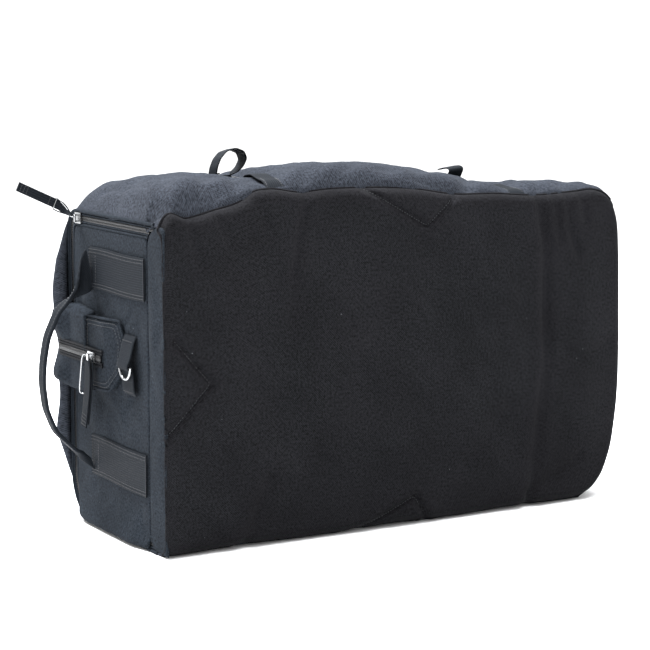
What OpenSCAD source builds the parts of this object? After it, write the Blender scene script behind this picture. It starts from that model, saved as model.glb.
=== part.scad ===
// Soft travel bag that converts between duffel and backpack, standing on its long side.
// X runs along the bag, the padded back panel faces -Y, the zipped front faces +Y.
// The origin is in the middle of the face that rests on the floor, +Z is up.

/* [Body] */
// Length of the bag
bag_length = 600; // [560:10:660]
// Height of the bag as it stands
bag_height = 360; // [340:5:400]
// How far the stuffed top rises above the ends
crown = 36; // [10:2:40]
// Distance from the origin to the outside of the back panel
back_depth = 120; // [110:5:130]
// Distance from the origin to the outside of the front panel
front_depth = 132; // [120:4:140]
// Radius of the two long edges at the front
front_round = 24; // [20:2:40]
// Radius of the two long edges at the back panel
back_round = 22; // [16:2:30]
// Thickness of the fabric walls
wall = 3; // [2:0.5:4]

/* [Back panel] */
// Thickness of the foam in the back panel
foam = 13; // [8:1:18]
// Thickness of the plastic stiffener sheet
stiffener = 1.5; // [1:0.5:3]

/* [End flap] */
// Width of the plain band beside the end flap
band_width = 40; // [30:2:50]
// Distance from the outside of the bag to the middle of the end zip
end_zip_inset = 10; // [9:1:14]

/* [Zips] */
// Width of one half of the closed coil
coil_half = 3.6; // [2.5:0.1:4.5]
// Height of the coil
coil_height = 2.5; // [2:0.1:3.5]
// Width of one zip tape
tape_width = 9.5; // [8:0.5:12]
// Height of the main zip's middle above the floor
main_zip_z = 200; // [170:5:200]

/* [Webbing] */
// Width of the handle webbing
handle_webbing = 48; // [30:1:50]
// Width of the strap webbing
strap_webbing = 25; // [20:1:30]
// Thickness of webbing
webbing = 2; // [1.5:0.1:3]
// How far the end handle stands out
handle_reach = 62; // [50:1:75]

/* [Hidden] */
$fn = 64;

half = bag_length / 2;
far = 500;
back_split = back_round - back_depth;   // where the back panel meets the top and bottom
front_split = front_depth - front_round; // where the front panels start
gap = 0.3;                              // clearance between halves that part
rim = 6.5;                              // fabric edge to the middle of a zip
flap_hinge_y = band_width - back_depth; // where the end flap is sewn to the band
tape_thick = 1;
lining_thick = 0.8;
tape_depth = wall;                      // tapes lie just under the walls
patch_tip_y = -20;
patch_half = 42;
patch_x = -half - 12;                   // outside of the left zip patch
patch_thick = 4;
handle_y = 62;
handle_low = 83;
handle_high = 297;
handle_start = -half - 6;
strap_left_x = -146;
strap_right_x = 163;
strap_left_z = bag_height + crown * 0.65;     // height of the top under each strap
strap_right_z = bag_height + crown * 0.25;
front_fabric = front_depth - wall;
zip_start = wall + 3 - half;            // where the front zip starts, clear of the end zip

// Cross-section of the bag in Y and Z, drawn in from its outside by inset
module section(inset = 0) {
    y0 = inset - back_depth;
    y1 = front_depth - inset;
    z0 = inset;
    z1 = bag_height - inset;
    rb = back_round - min(inset, back_round - 2);
    rf = front_round - inset;
    translate([y0 + rb, z0]) square([y1 - rf - y0 - rb, z1 - z0]);
    translate([y0, z0 + rb]) square([rb, z1 - z0 - 2 * rb]);
    translate([y1 - rf, z0 + rf]) square([rf, z1 - z0 - 2 * rf]);
    for (z = [z0 + rb, z1 - rb]) translate([y0 + rb, z]) circle(rb);
    for (z = [z0 + rf, z1 - rf]) translate([y1 - rf, z]) circle(rf);
}

module ring(outer, inner) {
    difference() {
        section(outer);
        section(inner);
    }
}

// Extrudes a shape drawn in Y and Z from x0 to x1
module along_x(x0, x1) {
    translate([x0, 0, 0]) rotate([90, 0, 90]) linear_extrude(x1 - x0) children();
}

module box(low, high) {
    translate(low) cube(high - low);
}

// Keeps the part of a Y-Z shape inside a window
module window(y0, y1, z0, z1) {
    intersection() {
        children();
        translate([y0, z0]) square([y1 - y0, z1 - z0]);
    }
}

// Long low bulge along the top edge of a panel, between two depths
module stuffed_edge(low_y, high_y, rise) {
    translate([0, high_y, 0]) rotate([90, 0, 0]) linear_extrude(high_y - low_y) polygon([
        [-half, bag_height - wall], [half, bag_height - wall], [half, bag_height + rise / 3],
        [half / 5, bag_height + rise], [-half * 0.6, bag_height + rise], [-half, bag_height]
    ]);
}

module back_panel_cover() {
    color("#2b2b2e") {
        along_x(-half, half) window(-far, back_split, -far, far) ring(0, wall);
        stuffed_edge(12 - back_depth, back_split, crown * 0.75);
    }
}

module back_panel_foam() {
    color("#4a4a4c") box([8 - half, wall - back_depth, back_round + 2],
        [half - 8, wall + foam - back_depth, bag_height - back_round - 2]);
}

module stiffener_sheet() {
    y = wall + foam - back_depth;
    color("#1a1a1a") box([14 - half, y, back_round + 8], [half - 14, y + stiffener, bag_height - back_round - 8]);
}

// Soft stuffed top, flat underneath and crowned both ways
module top_side_panel() {
    color("#303236") intersection() {
        translate([0, front_split, 0]) rotate([90, 0, 0]) linear_extrude(front_split - back_split) polygon([
            [-half, bag_height - wall], [half, bag_height - wall], [half, bag_height + crown / 4],
            [strap_right_x + 45, strap_right_z], [strap_right_x - 15, strap_right_z],
            [60, bag_height + crown], [strap_left_x + 20, strap_left_z],
            [strap_left_x - 20, strap_left_z], [-half + 30, bag_height + crown / 1.5], [-half, bag_height]
        ]);
        along_x(-half, half) polygon([
            [back_split, bag_height - wall], [back_split, bag_height + crown * 0.7],
            [back_split + 35, bag_height + crown + 1], [front_split - 28, bag_height + crown + 1],
            [front_split, bag_height + crown / 2], [front_split, bag_height - wall]
        ]);
    }
}

module bottom_side_panel() {
    color("#303236") along_x(-half, half)
        window(back_split, front_split, -far, bag_height / 2) ring(0, wall);
}

module front_upper_panel() {
    color("#303236") {
        along_x(-half, half) window(front_split, far, main_zip_z + rim, far) ring(0, wall);
        stuffed_edge(front_split, front_depth - 14, crown * 0.4);
    }
}

module front_lower_panel() {
    color("#303236") along_x(-half, half)
        window(front_split, far, -far, main_zip_z - rim) ring(0, wall);
}

module right_end_panel() {
    color("#303236") along_x(half - wall, half) section(wall);
}

module left_end_band() {
    color("#303236") along_x(-half, wall - half)
        window(-far, flap_hinge_y - gap, -far, far) section(wall);
}

// Thin lining inside the walls, open towards the end flap
module bag_lining() {
    tuck = wall + foam + stiffener + 0.5;
    color("#55585c") difference() {
        along_x(wall + 1.2 - half, half - wall - 0.4) section(wall + tape_thick + 0.2);
        difference() {
            along_x(-far, half - wall - 0.4 - lining_thick) section(wall + tape_thick + 0.2 + lining_thick);
            box([-far, -far, -1], [far, tuck + lining_thick - back_depth, far]);
        }
        box([-far, -far, -1], [far, tuck - back_depth, far]);
    }
}

// Front zip: two tapes under the wall edges, and the coil between them
module main_zip_tapes() {
    y = front_fabric - tape_thick;
    color("#202124") for (side = [-1, 1])
        box([zip_start, y, main_zip_z + (side > 0 ? gap : -tape_width)],
            [half - wall - 1, y + tape_thick, main_zip_z + (side > 0 ? tape_width : -gap)]);
}

module main_zip_coil() {
    color("#151516") box([zip_start, front_fabric, main_zip_z - coil_half],
        [half - 12, front_fabric + coil_height, main_zip_z + coil_half]);
}

// One U-shaped strip of the end zip, running over the top, front and bottom edges of the end
module end_strip(outer, inner, x0, x1, y_start) {
    along_x(x0, x1) window(y_start, far, -far, far) ring(outer, inner);
}

module end_zip_outer_tape() {
    color("#202124")
        end_strip(wall, end_zip_inset - gap, wall - half, wall + tape_thick - half, flap_hinge_y);
}

module end_zip_outer_coil() {
    color("#151516") end_strip(end_zip_inset - coil_half, end_zip_inset - gap,
        wall - coil_height - half, wall - half, flap_hinge_y);
}

module end_flap_panel() {
    color("#34363a") along_x(-half, wall - half)
        window(flap_hinge_y + gap, far, -far, far) section(end_zip_inset + rim);
}

module end_flap_lining() {
    x = wall + tape_thick - half;
    color("#55585c") along_x(x, x + lining_thick)
        window(flap_hinge_y + 2, far, -far, far) section(end_zip_inset + 2);
}

module end_zip_inner_tape() {
    color("#202124") end_strip(end_zip_inset + gap, end_zip_inset + tape_width,
        wall - half, wall + tape_thick - half, flap_hinge_y + gap);
}

module end_zip_inner_coil() {
    color("#151516") end_strip(end_zip_inset + gap, end_zip_inset + coil_half,
        wall - coil_height - half, wall - half, flap_hinge_y + gap);
}

// Webbing stitched across the end flap, and the low fold where it turns into the handle
module handle_band(z) {
    low = z - handle_webbing / 2;
    high = z + handle_webbing / 2;
    box([-half - webbing, flap_hinge_y + 1, low], [-half, handle_y + 6, high]);
}

module handle_band_upper() {
    color("#26272a") handle_band(handle_high);
}

module handle_band_lower() {
    color("#26272a") handle_band(handle_low);
}

// Folded webbing bow between the two bands, narrow at both ends
module end_handle() {
    span = handle_high - handle_low + 26;
    middle = (handle_high + handle_low) / 2;
    reach = handle_reach - 4;
    radius = (span * span / 4 + reach * reach) / (2 * reach);
    color("#26272a") intersection() {
        translate([handle_start - reach + radius, handle_y + 9, middle]) rotate([90, 0, 0]) difference() {
            cylinder(r = radius + 2, h = 18);
            translate([0, 0, -1]) cylinder(r = radius - 2, h = 20);
        }
        along_x(-far, handle_start) polygon([
            for (side = [-1, 1], s = side < 0 ? [0, 1, 2, 3] : [3, 2, 1, 0])
            [handle_y + side * (s == 0 || s == 3 ? 4 : 9),
             middle + [-span / 2 - 4, -span / 2 + 50, span / 2 - 50, span / 2 + 4][s]]
        ]);
    }
}

// Six-sided patch that carries the end of the main zip round the corner, its tip sewn down to foot_x
module zip_patch(x0, x1, foot_x) {
    tip = patch_tip_y;
    z = main_zip_z + 4;
    along_x(x0, x1) polygon([
        [front_depth - 2, z - patch_half + 4], [front_depth - 2, z + patch_half - 4],
        [40, z + patch_half], [tip + 22, z + patch_half - 6], [tip, z + 16],
        [tip, z - 16], [tip + 22, z - patch_half + 6], [40, z - patch_half]
    ]);
    box([x0, tip, z - 14], [max(x1, foot_x), tip + 22, z + 14]);
}

module zip_patch_left() {
    color("#34363a") zip_patch(patch_x, patch_x + patch_thick, -half);
}

module zip_patch_right() {
    color("#34363a") zip_patch(half, half + patch_thick, half);
}

module patch_zip_tape() {
    color("#202124") box([patch_x - tape_thick, 12, main_zip_z - tape_width],
        [patch_x, front_depth - 4, main_zip_z + tape_width]);
}

module patch_zip_coil() {
    color("#151516") box([patch_x - tape_thick - coil_height, 16, main_zip_z - coil_half],
        [patch_x - tape_thick, front_depth - 4, main_zip_z + coil_half]);
}

ring_z = main_zip_z - 1;
ring_y = patch_tip_y - 18;
ring_wire = 1.5;
ring_radius = 14;

// Webbing that holds a D-ring: a flat strip with a keeper that wraps round the ring's bar
module d_ring_strap(side) {
    x = side * half;
    out = side * 8;
    bar = side * (half + 9);
    difference() {
        union() {
            box([min(x, x + side * webbing), ring_y - 15, ring_z - 32],
                [max(x, x + side * webbing), ring_y + 15, ring_z + 32]);
            box([min(x, x + out), ring_y - 10, ring_z - 4], [max(x, x + out), ring_y + 10, ring_z + 4]);
            translate([bar, ring_y + 10, ring_z]) rotate([90, 0, 0]) cylinder(r = 4, h = 20);
        }
        translate([bar, ring_y + 30, ring_z]) rotate([90, 0, 0]) cylinder(r = ring_wire + 0.08, h = 60);
    }
}

module d_ring_strap_left() {
    color("#26272a") d_ring_strap(-1);
}

module d_ring_strap_right() {
    color("#26272a") d_ring_strap(1);
}

// Straight bar with a half-round loop hanging from it
module d_ring(side) {
    translate([side * (half + 9), ring_y, ring_z]) {
        translate([0, ring_radius, 0]) rotate([90, 0, 0]) cylinder(r = ring_wire, h = 2 * ring_radius);
        rotate([90, 0, 90]) rotate([0, 0, 180]) rotate_extrude(angle = 180)
            translate([ring_radius, 0]) circle(ring_wire, $fn = 24);
    }
}

module d_ring_left() {
    color("#c9ccd0") d_ring(-1);
}

module d_ring_right() {
    color("#c9ccd0") d_ring(1);
}

// Zip slider on a coil that runs along X, with the arch that holds its pull.
slider_length = 16;
slider_width = 12.4;
slider_top = 2;
arch_height = 4;
slider_height = coil_height + gap + slider_top;
pull_axis = slider_height + 1.7;            // height of a pull's axle over the tape
module slider() {
    inner = coil_half + gap;
    over = coil_height + gap;
    difference() {
        translate([-slider_length / 2, -slider_width / 2, gap])
            cube([slider_length, slider_width, slider_height - gap]);
        translate([-slider_length, -inner, -1]) cube([2 * slider_length, 2 * inner, over + 1]);
    }
    translate([0, 0, slider_height]) difference() {
        translate([-2, -4.4, 0]) cube([4, 8.8, arch_height]);
        translate([-5, -2.6, 0.6]) cube([10, 5.2, 2.2]);
    }
}

wire = 0.8;
wire_length = 40;
wire_half = 9.2;
tab_length = 64;
tab_start = 16;

// Wire loop hanging along -Y from an axle along X
module pull_wire(half_width, length) {
    for (y = [0, -length])
        translate([-half_width, y, 0]) rotate([0, 90, 0]) cylinder(r = wire, h = 2 * half_width);
    for (side = [-1, 1]) translate([side * half_width, 0, 0]) {
        rotate([90, 0, 0]) cylinder(r = wire, h = length);
        for (y = [0, -length]) translate([0, y, 0]) sphere(wire);
    }
}

// Folded webbing tab round the wire's far bar
module pull_tab() {
    difference() {
        translate([-7.5, -tab_start - tab_length, -2]) cube([15, tab_length, 4]);
        translate([-10, -wire_length, 0]) rotate([0, 90, 0]) cylinder(r = wire + 0.02, h = 20);
    }
}

patch_slider_y = 34;
front_slider_x = half - 40;
end_slider_y = front_split - 8;
pull_lift = 115;                            // how far the end pull stands up from hanging

// These place a slider or pull that was drawn on a coil along X
module on_patch() {
    translate([patch_x - tape_thick, patch_slider_y, main_zip_z]) rotate([90, 0, -90]) children();
}

module on_front() {
    translate([front_slider_x, front_fabric, main_zip_z]) rotate([90, 0, 180]) children();
}

module on_end_top() {
    translate([wall - half, end_slider_y, bag_height - end_zip_inset]) rotate([90, 0, -90]) children();
}

module hung(lift = 0) {
    translate([0, 0, pull_axis]) rotate([-lift, 0, 0]) children();
}

module patch_slider() {
    color("#c9ccd0") on_patch() slider();
}

module patch_pull_wire() {
    color("#c9ccd0") on_patch() hung() pull_wire(wire_half, wire_length);
}

module patch_pull_tab() {
    color("#1e1f21") on_patch() hung() pull_tab();
}

module front_slider() {
    color("#c9ccd0") on_front() slider();
}

module front_pull_wire() {
    color("#c9ccd0") on_front() hung() pull_wire(wire_half, wire_length);
}

module front_pull_tab() {
    color("#1e1f21") on_front() hung() pull_tab();
}

module end_slider_upper() {
    color("#c9ccd0") on_end_top() slider();
}

module end_pull_wire() {
    color("#c9ccd0") on_end_top() hung(pull_lift) pull_wire(wire_half, wire_length);
}

module end_pull_tab() {
    color("#1e1f21") on_end_top() hung(pull_lift) pull_tab();
}

// Compression straps over the top, closed by side-release buckles near the front
buckle_y = 52;                              // mouth of the socket
buckle_half = 16;
buckle_lift = webbing + gap;                // underside of the buckle over the bag
buckle_thick = 8.5;
prong_low = buckle_lift + 2.4;
prong_high = buckle_lift + 6.2;
anchor_bar = buckle_y + 28;
plug_start = buckle_y - 28;
plug_end = buckle_y - 0.5;

// Each of these is drawn round X = 0 with the bag's top at Z = 0
module strap_band() {
    box([-strap_webbing / 2, back_split + 38, 0], [strap_webbing / 2, buckle_y - 12, webbing]);
}

// Short webbing that is sewn to the bag and looped round the socket's bar
module buckle_anchor() {
    x = strap_webbing / 2;
    box([-x, anchor_bar - 14, 0], [x, front_split - 30, webbing]);
    translate([-x, anchor_bar, buckle_lift + 4]) rotate([0, 90, 0]) difference() {
        cylinder(r = 3.9, h = strap_webbing);
        translate([0, 0, -1]) cylinder(r = 1.9, h = strap_webbing + 2);
    }
}

module buckle_socket() {
    high = buckle_lift + buckle_thick;
    difference() {
        box([-buckle_half, buckle_y, buckle_lift], [buckle_half, anchor_bar + 3, high]);
        box([-12, buckle_y - 1, prong_low - gap], [12, anchor_bar - 7, prong_high + gap]);
        box([-13, anchor_bar - 5, -1], [13, anchor_bar + 4, high + 1]);
        for (side = [-1, 1]) box(
            [min(side * 10, side * 20), buckle_y + 8, buckle_lift + 1.6],
            [max(side * 10, side * 20), buckle_y + 18, high - 1.6]);
    }
    translate([-14, anchor_bar, buckle_lift + 4]) rotate([0, 90, 0]) cylinder(r = 1.8, h = 28);
}

// Plug: ladder frame for the strap, two sprung side prongs and a middle guide
module buckle_plug() {
    difference() {
        box([-buckle_half, plug_start, buckle_lift], [buckle_half, plug_end, buckle_lift + buckle_thick]);
        for (y = [5, 15]) box([-13, plug_start + y, -1], [13, plug_start + y + 5, far]);
    }
    for (side = [-1, 1])
        box([side * 9 - 2, plug_end, prong_low], [side * 9 + 2, plug_end + 19, prong_high]);
    box([-2.5, plug_end, prong_low], [2.5, plug_end + 14, prong_high]);
}

// Strap end threaded through the plug's two slots, with its free end curled up behind
module strap_tail(curl) {
    x = strap_webbing / 2;
    z = buckle_lift + buckle_thick + gap / 2;
    for (y = [6.5, 16.5])
        box([-x, plug_start + y, buckle_lift], [x, plug_start + y + webbing, z + webbing]);
    box([-x, plug_start + 1, z], [x, plug_start + 18.5, z + webbing]);
    intersection() {
        translate([-x, plug_start + 1, z + curl]) rotate([0, 90, 0]) difference() {
            cylinder(r = curl, h = strap_webbing);
            translate([0, 0, -1]) cylinder(r = curl - webbing, h = strap_webbing + 2);
        }
        box([-x - 1, plug_start + 1 - 2 * curl, 0], [x + 1, plug_start + 1, far]);
    }
}

module on_left_strap() {
    translate([strap_left_x, 0, strap_left_z]) children();
}

module on_right_strap() {
    translate([strap_right_x, 0, strap_right_z]) children();
}

module strap_webbing_left() {
    color("#26272a") on_left_strap() strap_band();
}

module strap_webbing_right() {
    color("#26272a") on_right_strap() strap_band();
}

module buckle_anchor_left() {
    color("#26272a") on_left_strap() buckle_anchor();
}

module buckle_anchor_right() {
    color("#26272a") on_right_strap() buckle_anchor();
}

module buckle_socket_left() {
    color("#18191a") on_left_strap() buckle_socket();
}

module buckle_socket_right() {
    color("#18191a") on_right_strap() buckle_socket();
}

module buckle_plug_left() {
    color("#18191a") on_left_strap() buckle_plug();
}

module buckle_plug_right() {
    color("#18191a") on_right_strap() buckle_plug();
}

module strap_tail_left() {
    color("#26272a") on_left_strap() strap_tail(16);
}

module strap_tail_right() {
    color("#26272a") on_right_strap() strap_tail(8);
}

back_panel_cover();
back_panel_foam();
stiffener_sheet();
top_side_panel();
bottom_side_panel();
front_upper_panel();
front_lower_panel();
right_end_panel();
left_end_band();
bag_lining();
main_zip_tapes();
main_zip_coil();
end_zip_outer_tape();
end_zip_outer_coil();
end_flap_panel();
end_flap_lining();
end_zip_inner_tape();
end_zip_inner_coil();
handle_band_upper();
handle_band_lower();
end_handle();
zip_patch_left();
patch_zip_tape();
patch_zip_coil();
d_ring_strap_left();
d_ring_left();
zip_patch_right();
d_ring_strap_right();
d_ring_right();
patch_slider();
patch_pull_wire();
patch_pull_tab();
front_slider();
front_pull_wire();
front_pull_tab();
end_slider_upper();
end_pull_wire();
end_pull_tab();
strap_webbing_left();
strap_webbing_right();
buckle_anchor_left();
buckle_anchor_right();
buckle_socket_left();
buckle_socket_right();
buckle_plug_left();
buckle_plug_right();
strap_tail_left();
strap_tail_right();
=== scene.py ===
"""Visual model of a soft flight bag: woven shell, webbing, zips and buckles round a fixed CAD frame."""

import math

import bpy
import numpy as np
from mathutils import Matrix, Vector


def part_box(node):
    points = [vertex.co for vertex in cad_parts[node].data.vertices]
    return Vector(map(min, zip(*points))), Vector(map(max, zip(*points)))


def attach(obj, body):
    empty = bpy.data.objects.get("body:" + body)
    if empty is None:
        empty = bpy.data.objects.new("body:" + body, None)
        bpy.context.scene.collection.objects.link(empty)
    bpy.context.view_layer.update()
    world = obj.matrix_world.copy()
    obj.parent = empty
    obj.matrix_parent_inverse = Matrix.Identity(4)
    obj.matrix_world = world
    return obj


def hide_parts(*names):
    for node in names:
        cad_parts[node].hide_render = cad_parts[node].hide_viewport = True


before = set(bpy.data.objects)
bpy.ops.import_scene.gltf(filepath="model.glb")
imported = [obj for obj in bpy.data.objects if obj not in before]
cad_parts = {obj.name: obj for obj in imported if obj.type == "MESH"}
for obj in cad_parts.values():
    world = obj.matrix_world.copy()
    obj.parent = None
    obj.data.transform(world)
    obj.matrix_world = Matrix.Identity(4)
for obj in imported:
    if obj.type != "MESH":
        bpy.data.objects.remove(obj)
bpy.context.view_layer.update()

bl_info = {
    "name": "Flight bag builder",
    "version": (1, 0, 0),
    "blender": (4, 5, 0),
    "location": "3D View > Sidebar > Flight Bag",
    "description": "Builds the sewn shell, webbing and hardware of a soft flight bag",
    "category": "Add Mesh",
}

MM = 0.001
FLOOR_GAP = 0.3          # lowest height of any cloth, in millimetres
SHELL_THICK = 2.0


def low(node):
    """Lowest corner of a CAD node in millimetres."""
    return np.array(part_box(node)[0]) / MM


def high(node):
    """Highest corner of a CAD node in millimetres."""
    return np.array(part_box(node)[1]) / MM


LEFT = low("front_lower_panel")[0]
RIGHT = high("front_lower_panel")[0]
BACK = low("back_panel_cover")[1]
FRONT = high("front_lower_panel")[1]
SEAM_Z = high("right_end_panel")[2] + 3.0
ZIP_Z = (low("main_zip_coil")[2] + high("main_zip_coil")[2]) / 2
HINGE_Y = high("left_end_band")[1]


# Shapes of the stuffed bag along its length: (X, height) in millimetres
BACK_TOP = [(-300, 354), (-296, 362), (-267, 364), (-234, 371), (-201, 380), (-186, 389), (-169, 391),
            (-127, 386), (-98, 388), (-49, 388), (20, 384), (72, 376), (132, 374), (189, 370),
            (247, 372), (277, 373), (296, 366), (306, 356)]
CREST = [(-300, 357), (-291, 384), (-284, 396), (-268, 403), (-227, 404), (-185, 402), (-160, 399),
         (-140, 408), (-123, 412), (-41, 413), (-7, 410), (30, 406), (86, 395), (125, 387),
         (163, 380), (190, 384), (246, 383), (285, 380), (303, 373), (308, 366)]
PLATEAU = [(-300, 357), (-290, 376), (-275, 390), (-250, 396), (-160, 400), (-56, 403), (32, 402),
           (107, 396), (163, 382), (208, 375), (244, 369), (280, 370), (300, 366), (306, 360)]
RIGHT_EDGE = [(0, 258), (8, 272), (22, 285), (50, 299), (93, 308), (140, 312), (178, 312), (230, 311),
              (298, 309), (335, 306), (360, 300)]


def along(x, table):
    """Smooth curve through a table's points, evaluated at x."""
    xs, ys = np.array(table, float).T
    slope = np.gradient(ys, xs)
    x = np.clip(x, xs[0], xs[-1])
    i = np.clip(np.searchsorted(xs, x, side="right") - 1, 0, len(xs) - 2)
    h = xs[i + 1] - xs[i]
    t = (x - xs[i]) / h
    return ((1 + 2 * t) * (1 - t) ** 2 * ys[i] + t * (1 - t) ** 2 * h * slope[i]
            + t * t * (3 - 2 * t) * ys[i + 1] + t * t * (t - 1) * h * slope[i + 1])


def right_end_x(y, z):
    """Where the right end's rim lies: out with the back panel's edge at the back, flatter further forward."""
    edge = along(np.clip(z, 0, 360), RIGHT_EDGE)
    base = RIGHT + 2.0
    return np.minimum(edge, base) + np.maximum(edge - base, 0) * np.exp(-(y - BACK) / 50)


def ripple(u, v, size, seed):
    """Gentle cloth unevenness about 1 high, from a few fixed waves of about the given size."""
    rng = np.random.default_rng(seed)
    total = 0
    warp_u = u + size * 0.35 * np.sin(v * 3.1 / size + seed)
    warp_v = v + size * 0.35 * np.sin(u * 2.7 / size + 2 * seed)
    for number in range(12):
        turn = math.pi * (number + rng.uniform(0, 1)) / 12
        k = 2 * math.pi / (size * rng.uniform(0.6, 1.8))
        total = total + np.sin(k * (warp_u * math.cos(turn) + warp_v * math.sin(turn)) + rng.uniform(0, 6.3))
    return total / 3.4


def groove(u, v, line, width):
    """1 on a polyline drawn in (u, v), falling to 0 over the width."""
    best = np.full(np.shape(u), 1e9)
    for (u0, v0), (u1, v1) in zip(line, line[1:]):
        du, dv = u1 - u0, v1 - v0
        t = np.clip(((u - u0) * du + (v - v0) * dv) / (du * du + dv * dv), 0, 1)
        best = np.minimum(best, np.hypot(u - u0 - t * du, v - v0 - t * dv))
    return np.exp(-(best / width) ** 2)


def run_along(points):
    """Distance run along a polyline at each of its points."""
    return np.concatenate([[0], np.cumsum(np.linalg.norm(np.diff(points, axis=0), axis=1))])


def resample(points, step):
    """Evenly spaced points along a polyline."""
    points = np.asarray(points, float)
    run = run_along(points)
    at = np.linspace(0, run[-1], max(2, int(round(run[-1] / step)) + 1))
    return np.stack([np.interp(at, run, points[:, k]) for k in range(points.shape[1])], 1)


def smoothed(points, step=2.0, soft=3):
    """Evenly spaced points along a polyline, with its corners rounded off."""
    points = resample(points, step)
    for _ in range(soft * 4):
        points[1:-1] = (points[:-2] + 2 * points[1:-1] + points[2:]) / 4
    return points


def unit(vectors):
    return vectors / np.maximum(np.linalg.norm(vectors, axis=-1, keepdims=True), 1e-9)


def linear(hex_colour):
    """Linear RGBA of an sRGB hex colour."""
    parts = [int(hex_colour[i:i + 2], 16) / 255 for i in (1, 3, 5)]
    return [c / 12.92 if c <= 0.04045 else ((c + 0.055) / 1.055) ** 2.4 for c in parts] + [1.0]


# ---------------------------------------------------------------- mesh building

TAB_STITCH = {"pitch": 2.2, "length": 1.9, "fat": 0.5}


def finish_piece(name, verts, faces, uvs, finish, body, nodes=(), thick=0.0):
    """Makes an object from millimetre data, parents it to its body, gives it its finish and hides the CAD
    nodes it stands for.
    """
    mesh = bpy.data.meshes.new(name)
    verts = np.array(verts, float)
    verts[:, 2] = np.maximum(verts[:, 2], FLOOR_GAP)
    mesh.from_pydata((verts * MM).tolist(), [], [tuple(int(i) for i in f) for f in faces])
    layer = mesh.uv_layers.new(name="Cloth")
    loops = np.zeros(len(mesh.loops), np.int64)
    mesh.loops.foreach_get("vertex_index", loops)
    layer.data.foreach_set("uv", (np.asarray(uvs, float)[loops] * MM).ravel())
    mesh.polygons.foreach_set("use_smooth", [True] * len(mesh.polygons))
    mesh.materials.append(material(finish))
    mesh.update()
    piece = bpy.data.objects.new(name, mesh)
    bpy.context.scene.collection.objects.link(piece)
    if thick:
        shell = piece.modifiers.new("Cloth thickness", "SOLIDIFY")
        shell.thickness = thick * MM
        shell.offset = -1
    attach(piece, body)
    if nodes:
        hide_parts(*nodes)
    return piece


def grid_faces(rows, cols, flip=False, around=False):
    """Quads of a grid of rows by cols points, joined round the columns where asked."""
    r = np.arange(rows - 1)[:, None]
    c = np.arange(cols if around else cols - 1)[None, :]
    n = (c + 1) % cols
    quads = np.stack([r * cols + c, r * cols + n, (r + 1) * cols + n, (r + 1) * cols + c], -1).reshape(-1, 4)
    return quads[:, ::-1] if flip else quads


def sheet(name, points, finish, body, nodes=(), flip=False):
    """A sewn panel from a grid of outer-surface points, thickened inwards."""
    rows, cols = points.shape[:2]
    across = np.linalg.norm(np.diff(points, axis=1), axis=2).mean(0)
    down = np.linalg.norm(np.diff(points, axis=0), axis=2).mean(1)
    u = np.concatenate([[0], np.cumsum(across)])
    v = np.concatenate([[0], np.cumsum(down)])
    uvs = np.stack(np.meshgrid(u, v), -1).reshape(-1, 2)
    piece = finish_piece(name, points.reshape(-1, 3), grid_faces(rows, cols, flip), uvs, finish, body, nodes,
                         SHELL_THICK)
    return piece


def pad(name, outline, place, finish, body, nodes=(), height=4.0, roll=4.0, dome=0.0, step=4.0, soft=1,
        shape=None, flip=False):
    """A padded patch with rolled edges: an outline in (u, v), and a function placing (u, v, height)."""
    edge = smoothed(list(outline) + [outline[0]], step, soft)[:-1]
    centre = (edge.min(0) + edge.max(0)) / 2
    reach = np.linalg.norm(edge - centre, axis=1)
    inner = np.linspace(0.04, 1, max(5, int(reach.mean() / step)))[:-1]
    edges = 1 - roll * np.array([1, 0.62, 0.3, 0.1, 0]) / reach.mean()
    rings = np.concatenate([inner[inner < edges[0] - 0.02], edges])
    uv = centre + (edge - centre)[None] * rings[:, None, None]
    inset = (1 - rings)[:, None] * reach[None]
    lift = height * np.sqrt(np.maximum(0, 1 - (1 - np.minimum(inset, roll) / roll) ** 2))
    lift = lift + dome * (1 - rings[:, None] ** 2.5)
    if shape:
        lift = lift + shape(uv[..., 0], uv[..., 1]) * (1 - rings[:, None] ** 6)
    n = len(edge)
    under = rings[:-1][::-3]
    uv = np.concatenate([uv, centre + (edge - centre)[None] * under[:, None, None]])
    flat_uv = np.concatenate([uv.reshape(-1, 2), [centre, centre]])
    lifts = np.concatenate([lift.ravel(), np.zeros(len(under) * n), [lift[0].mean(), 0]])
    verts = place(flat_uv[:, 0], flat_uv[:, 1], lifts)
    total = len(uv) * n
    faces = [tuple(f) for f in grid_faces(len(uv), n, flip, True)]
    for i in range(n):
        j = (i + 1) % n
        caps = [(total, j, i), (total + 1, total - n + i, total - n + j)]
        faces += [cap[::-1] for cap in caps] if flip else caps
    return finish_piece(name, verts, faces, flat_uv, finish, body, nodes)


# Section of webbing with softened edges, in fractions of its width and thickness
FLAT = [(-0.5, 0.2), (-0.48, 0.42), (-0.4, 0.5), (-0.15, 0.5), (0.15, 0.5), (0.4, 0.5), (0.48, 0.42),
        (0.5, 0.2), (0.5, -0.2), (0.48, -0.42), (0.4, -0.5), (0.15, -0.5), (-0.15, -0.5), (-0.4, -0.5),
        (-0.48, -0.42), (-0.5, -0.2)]


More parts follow.
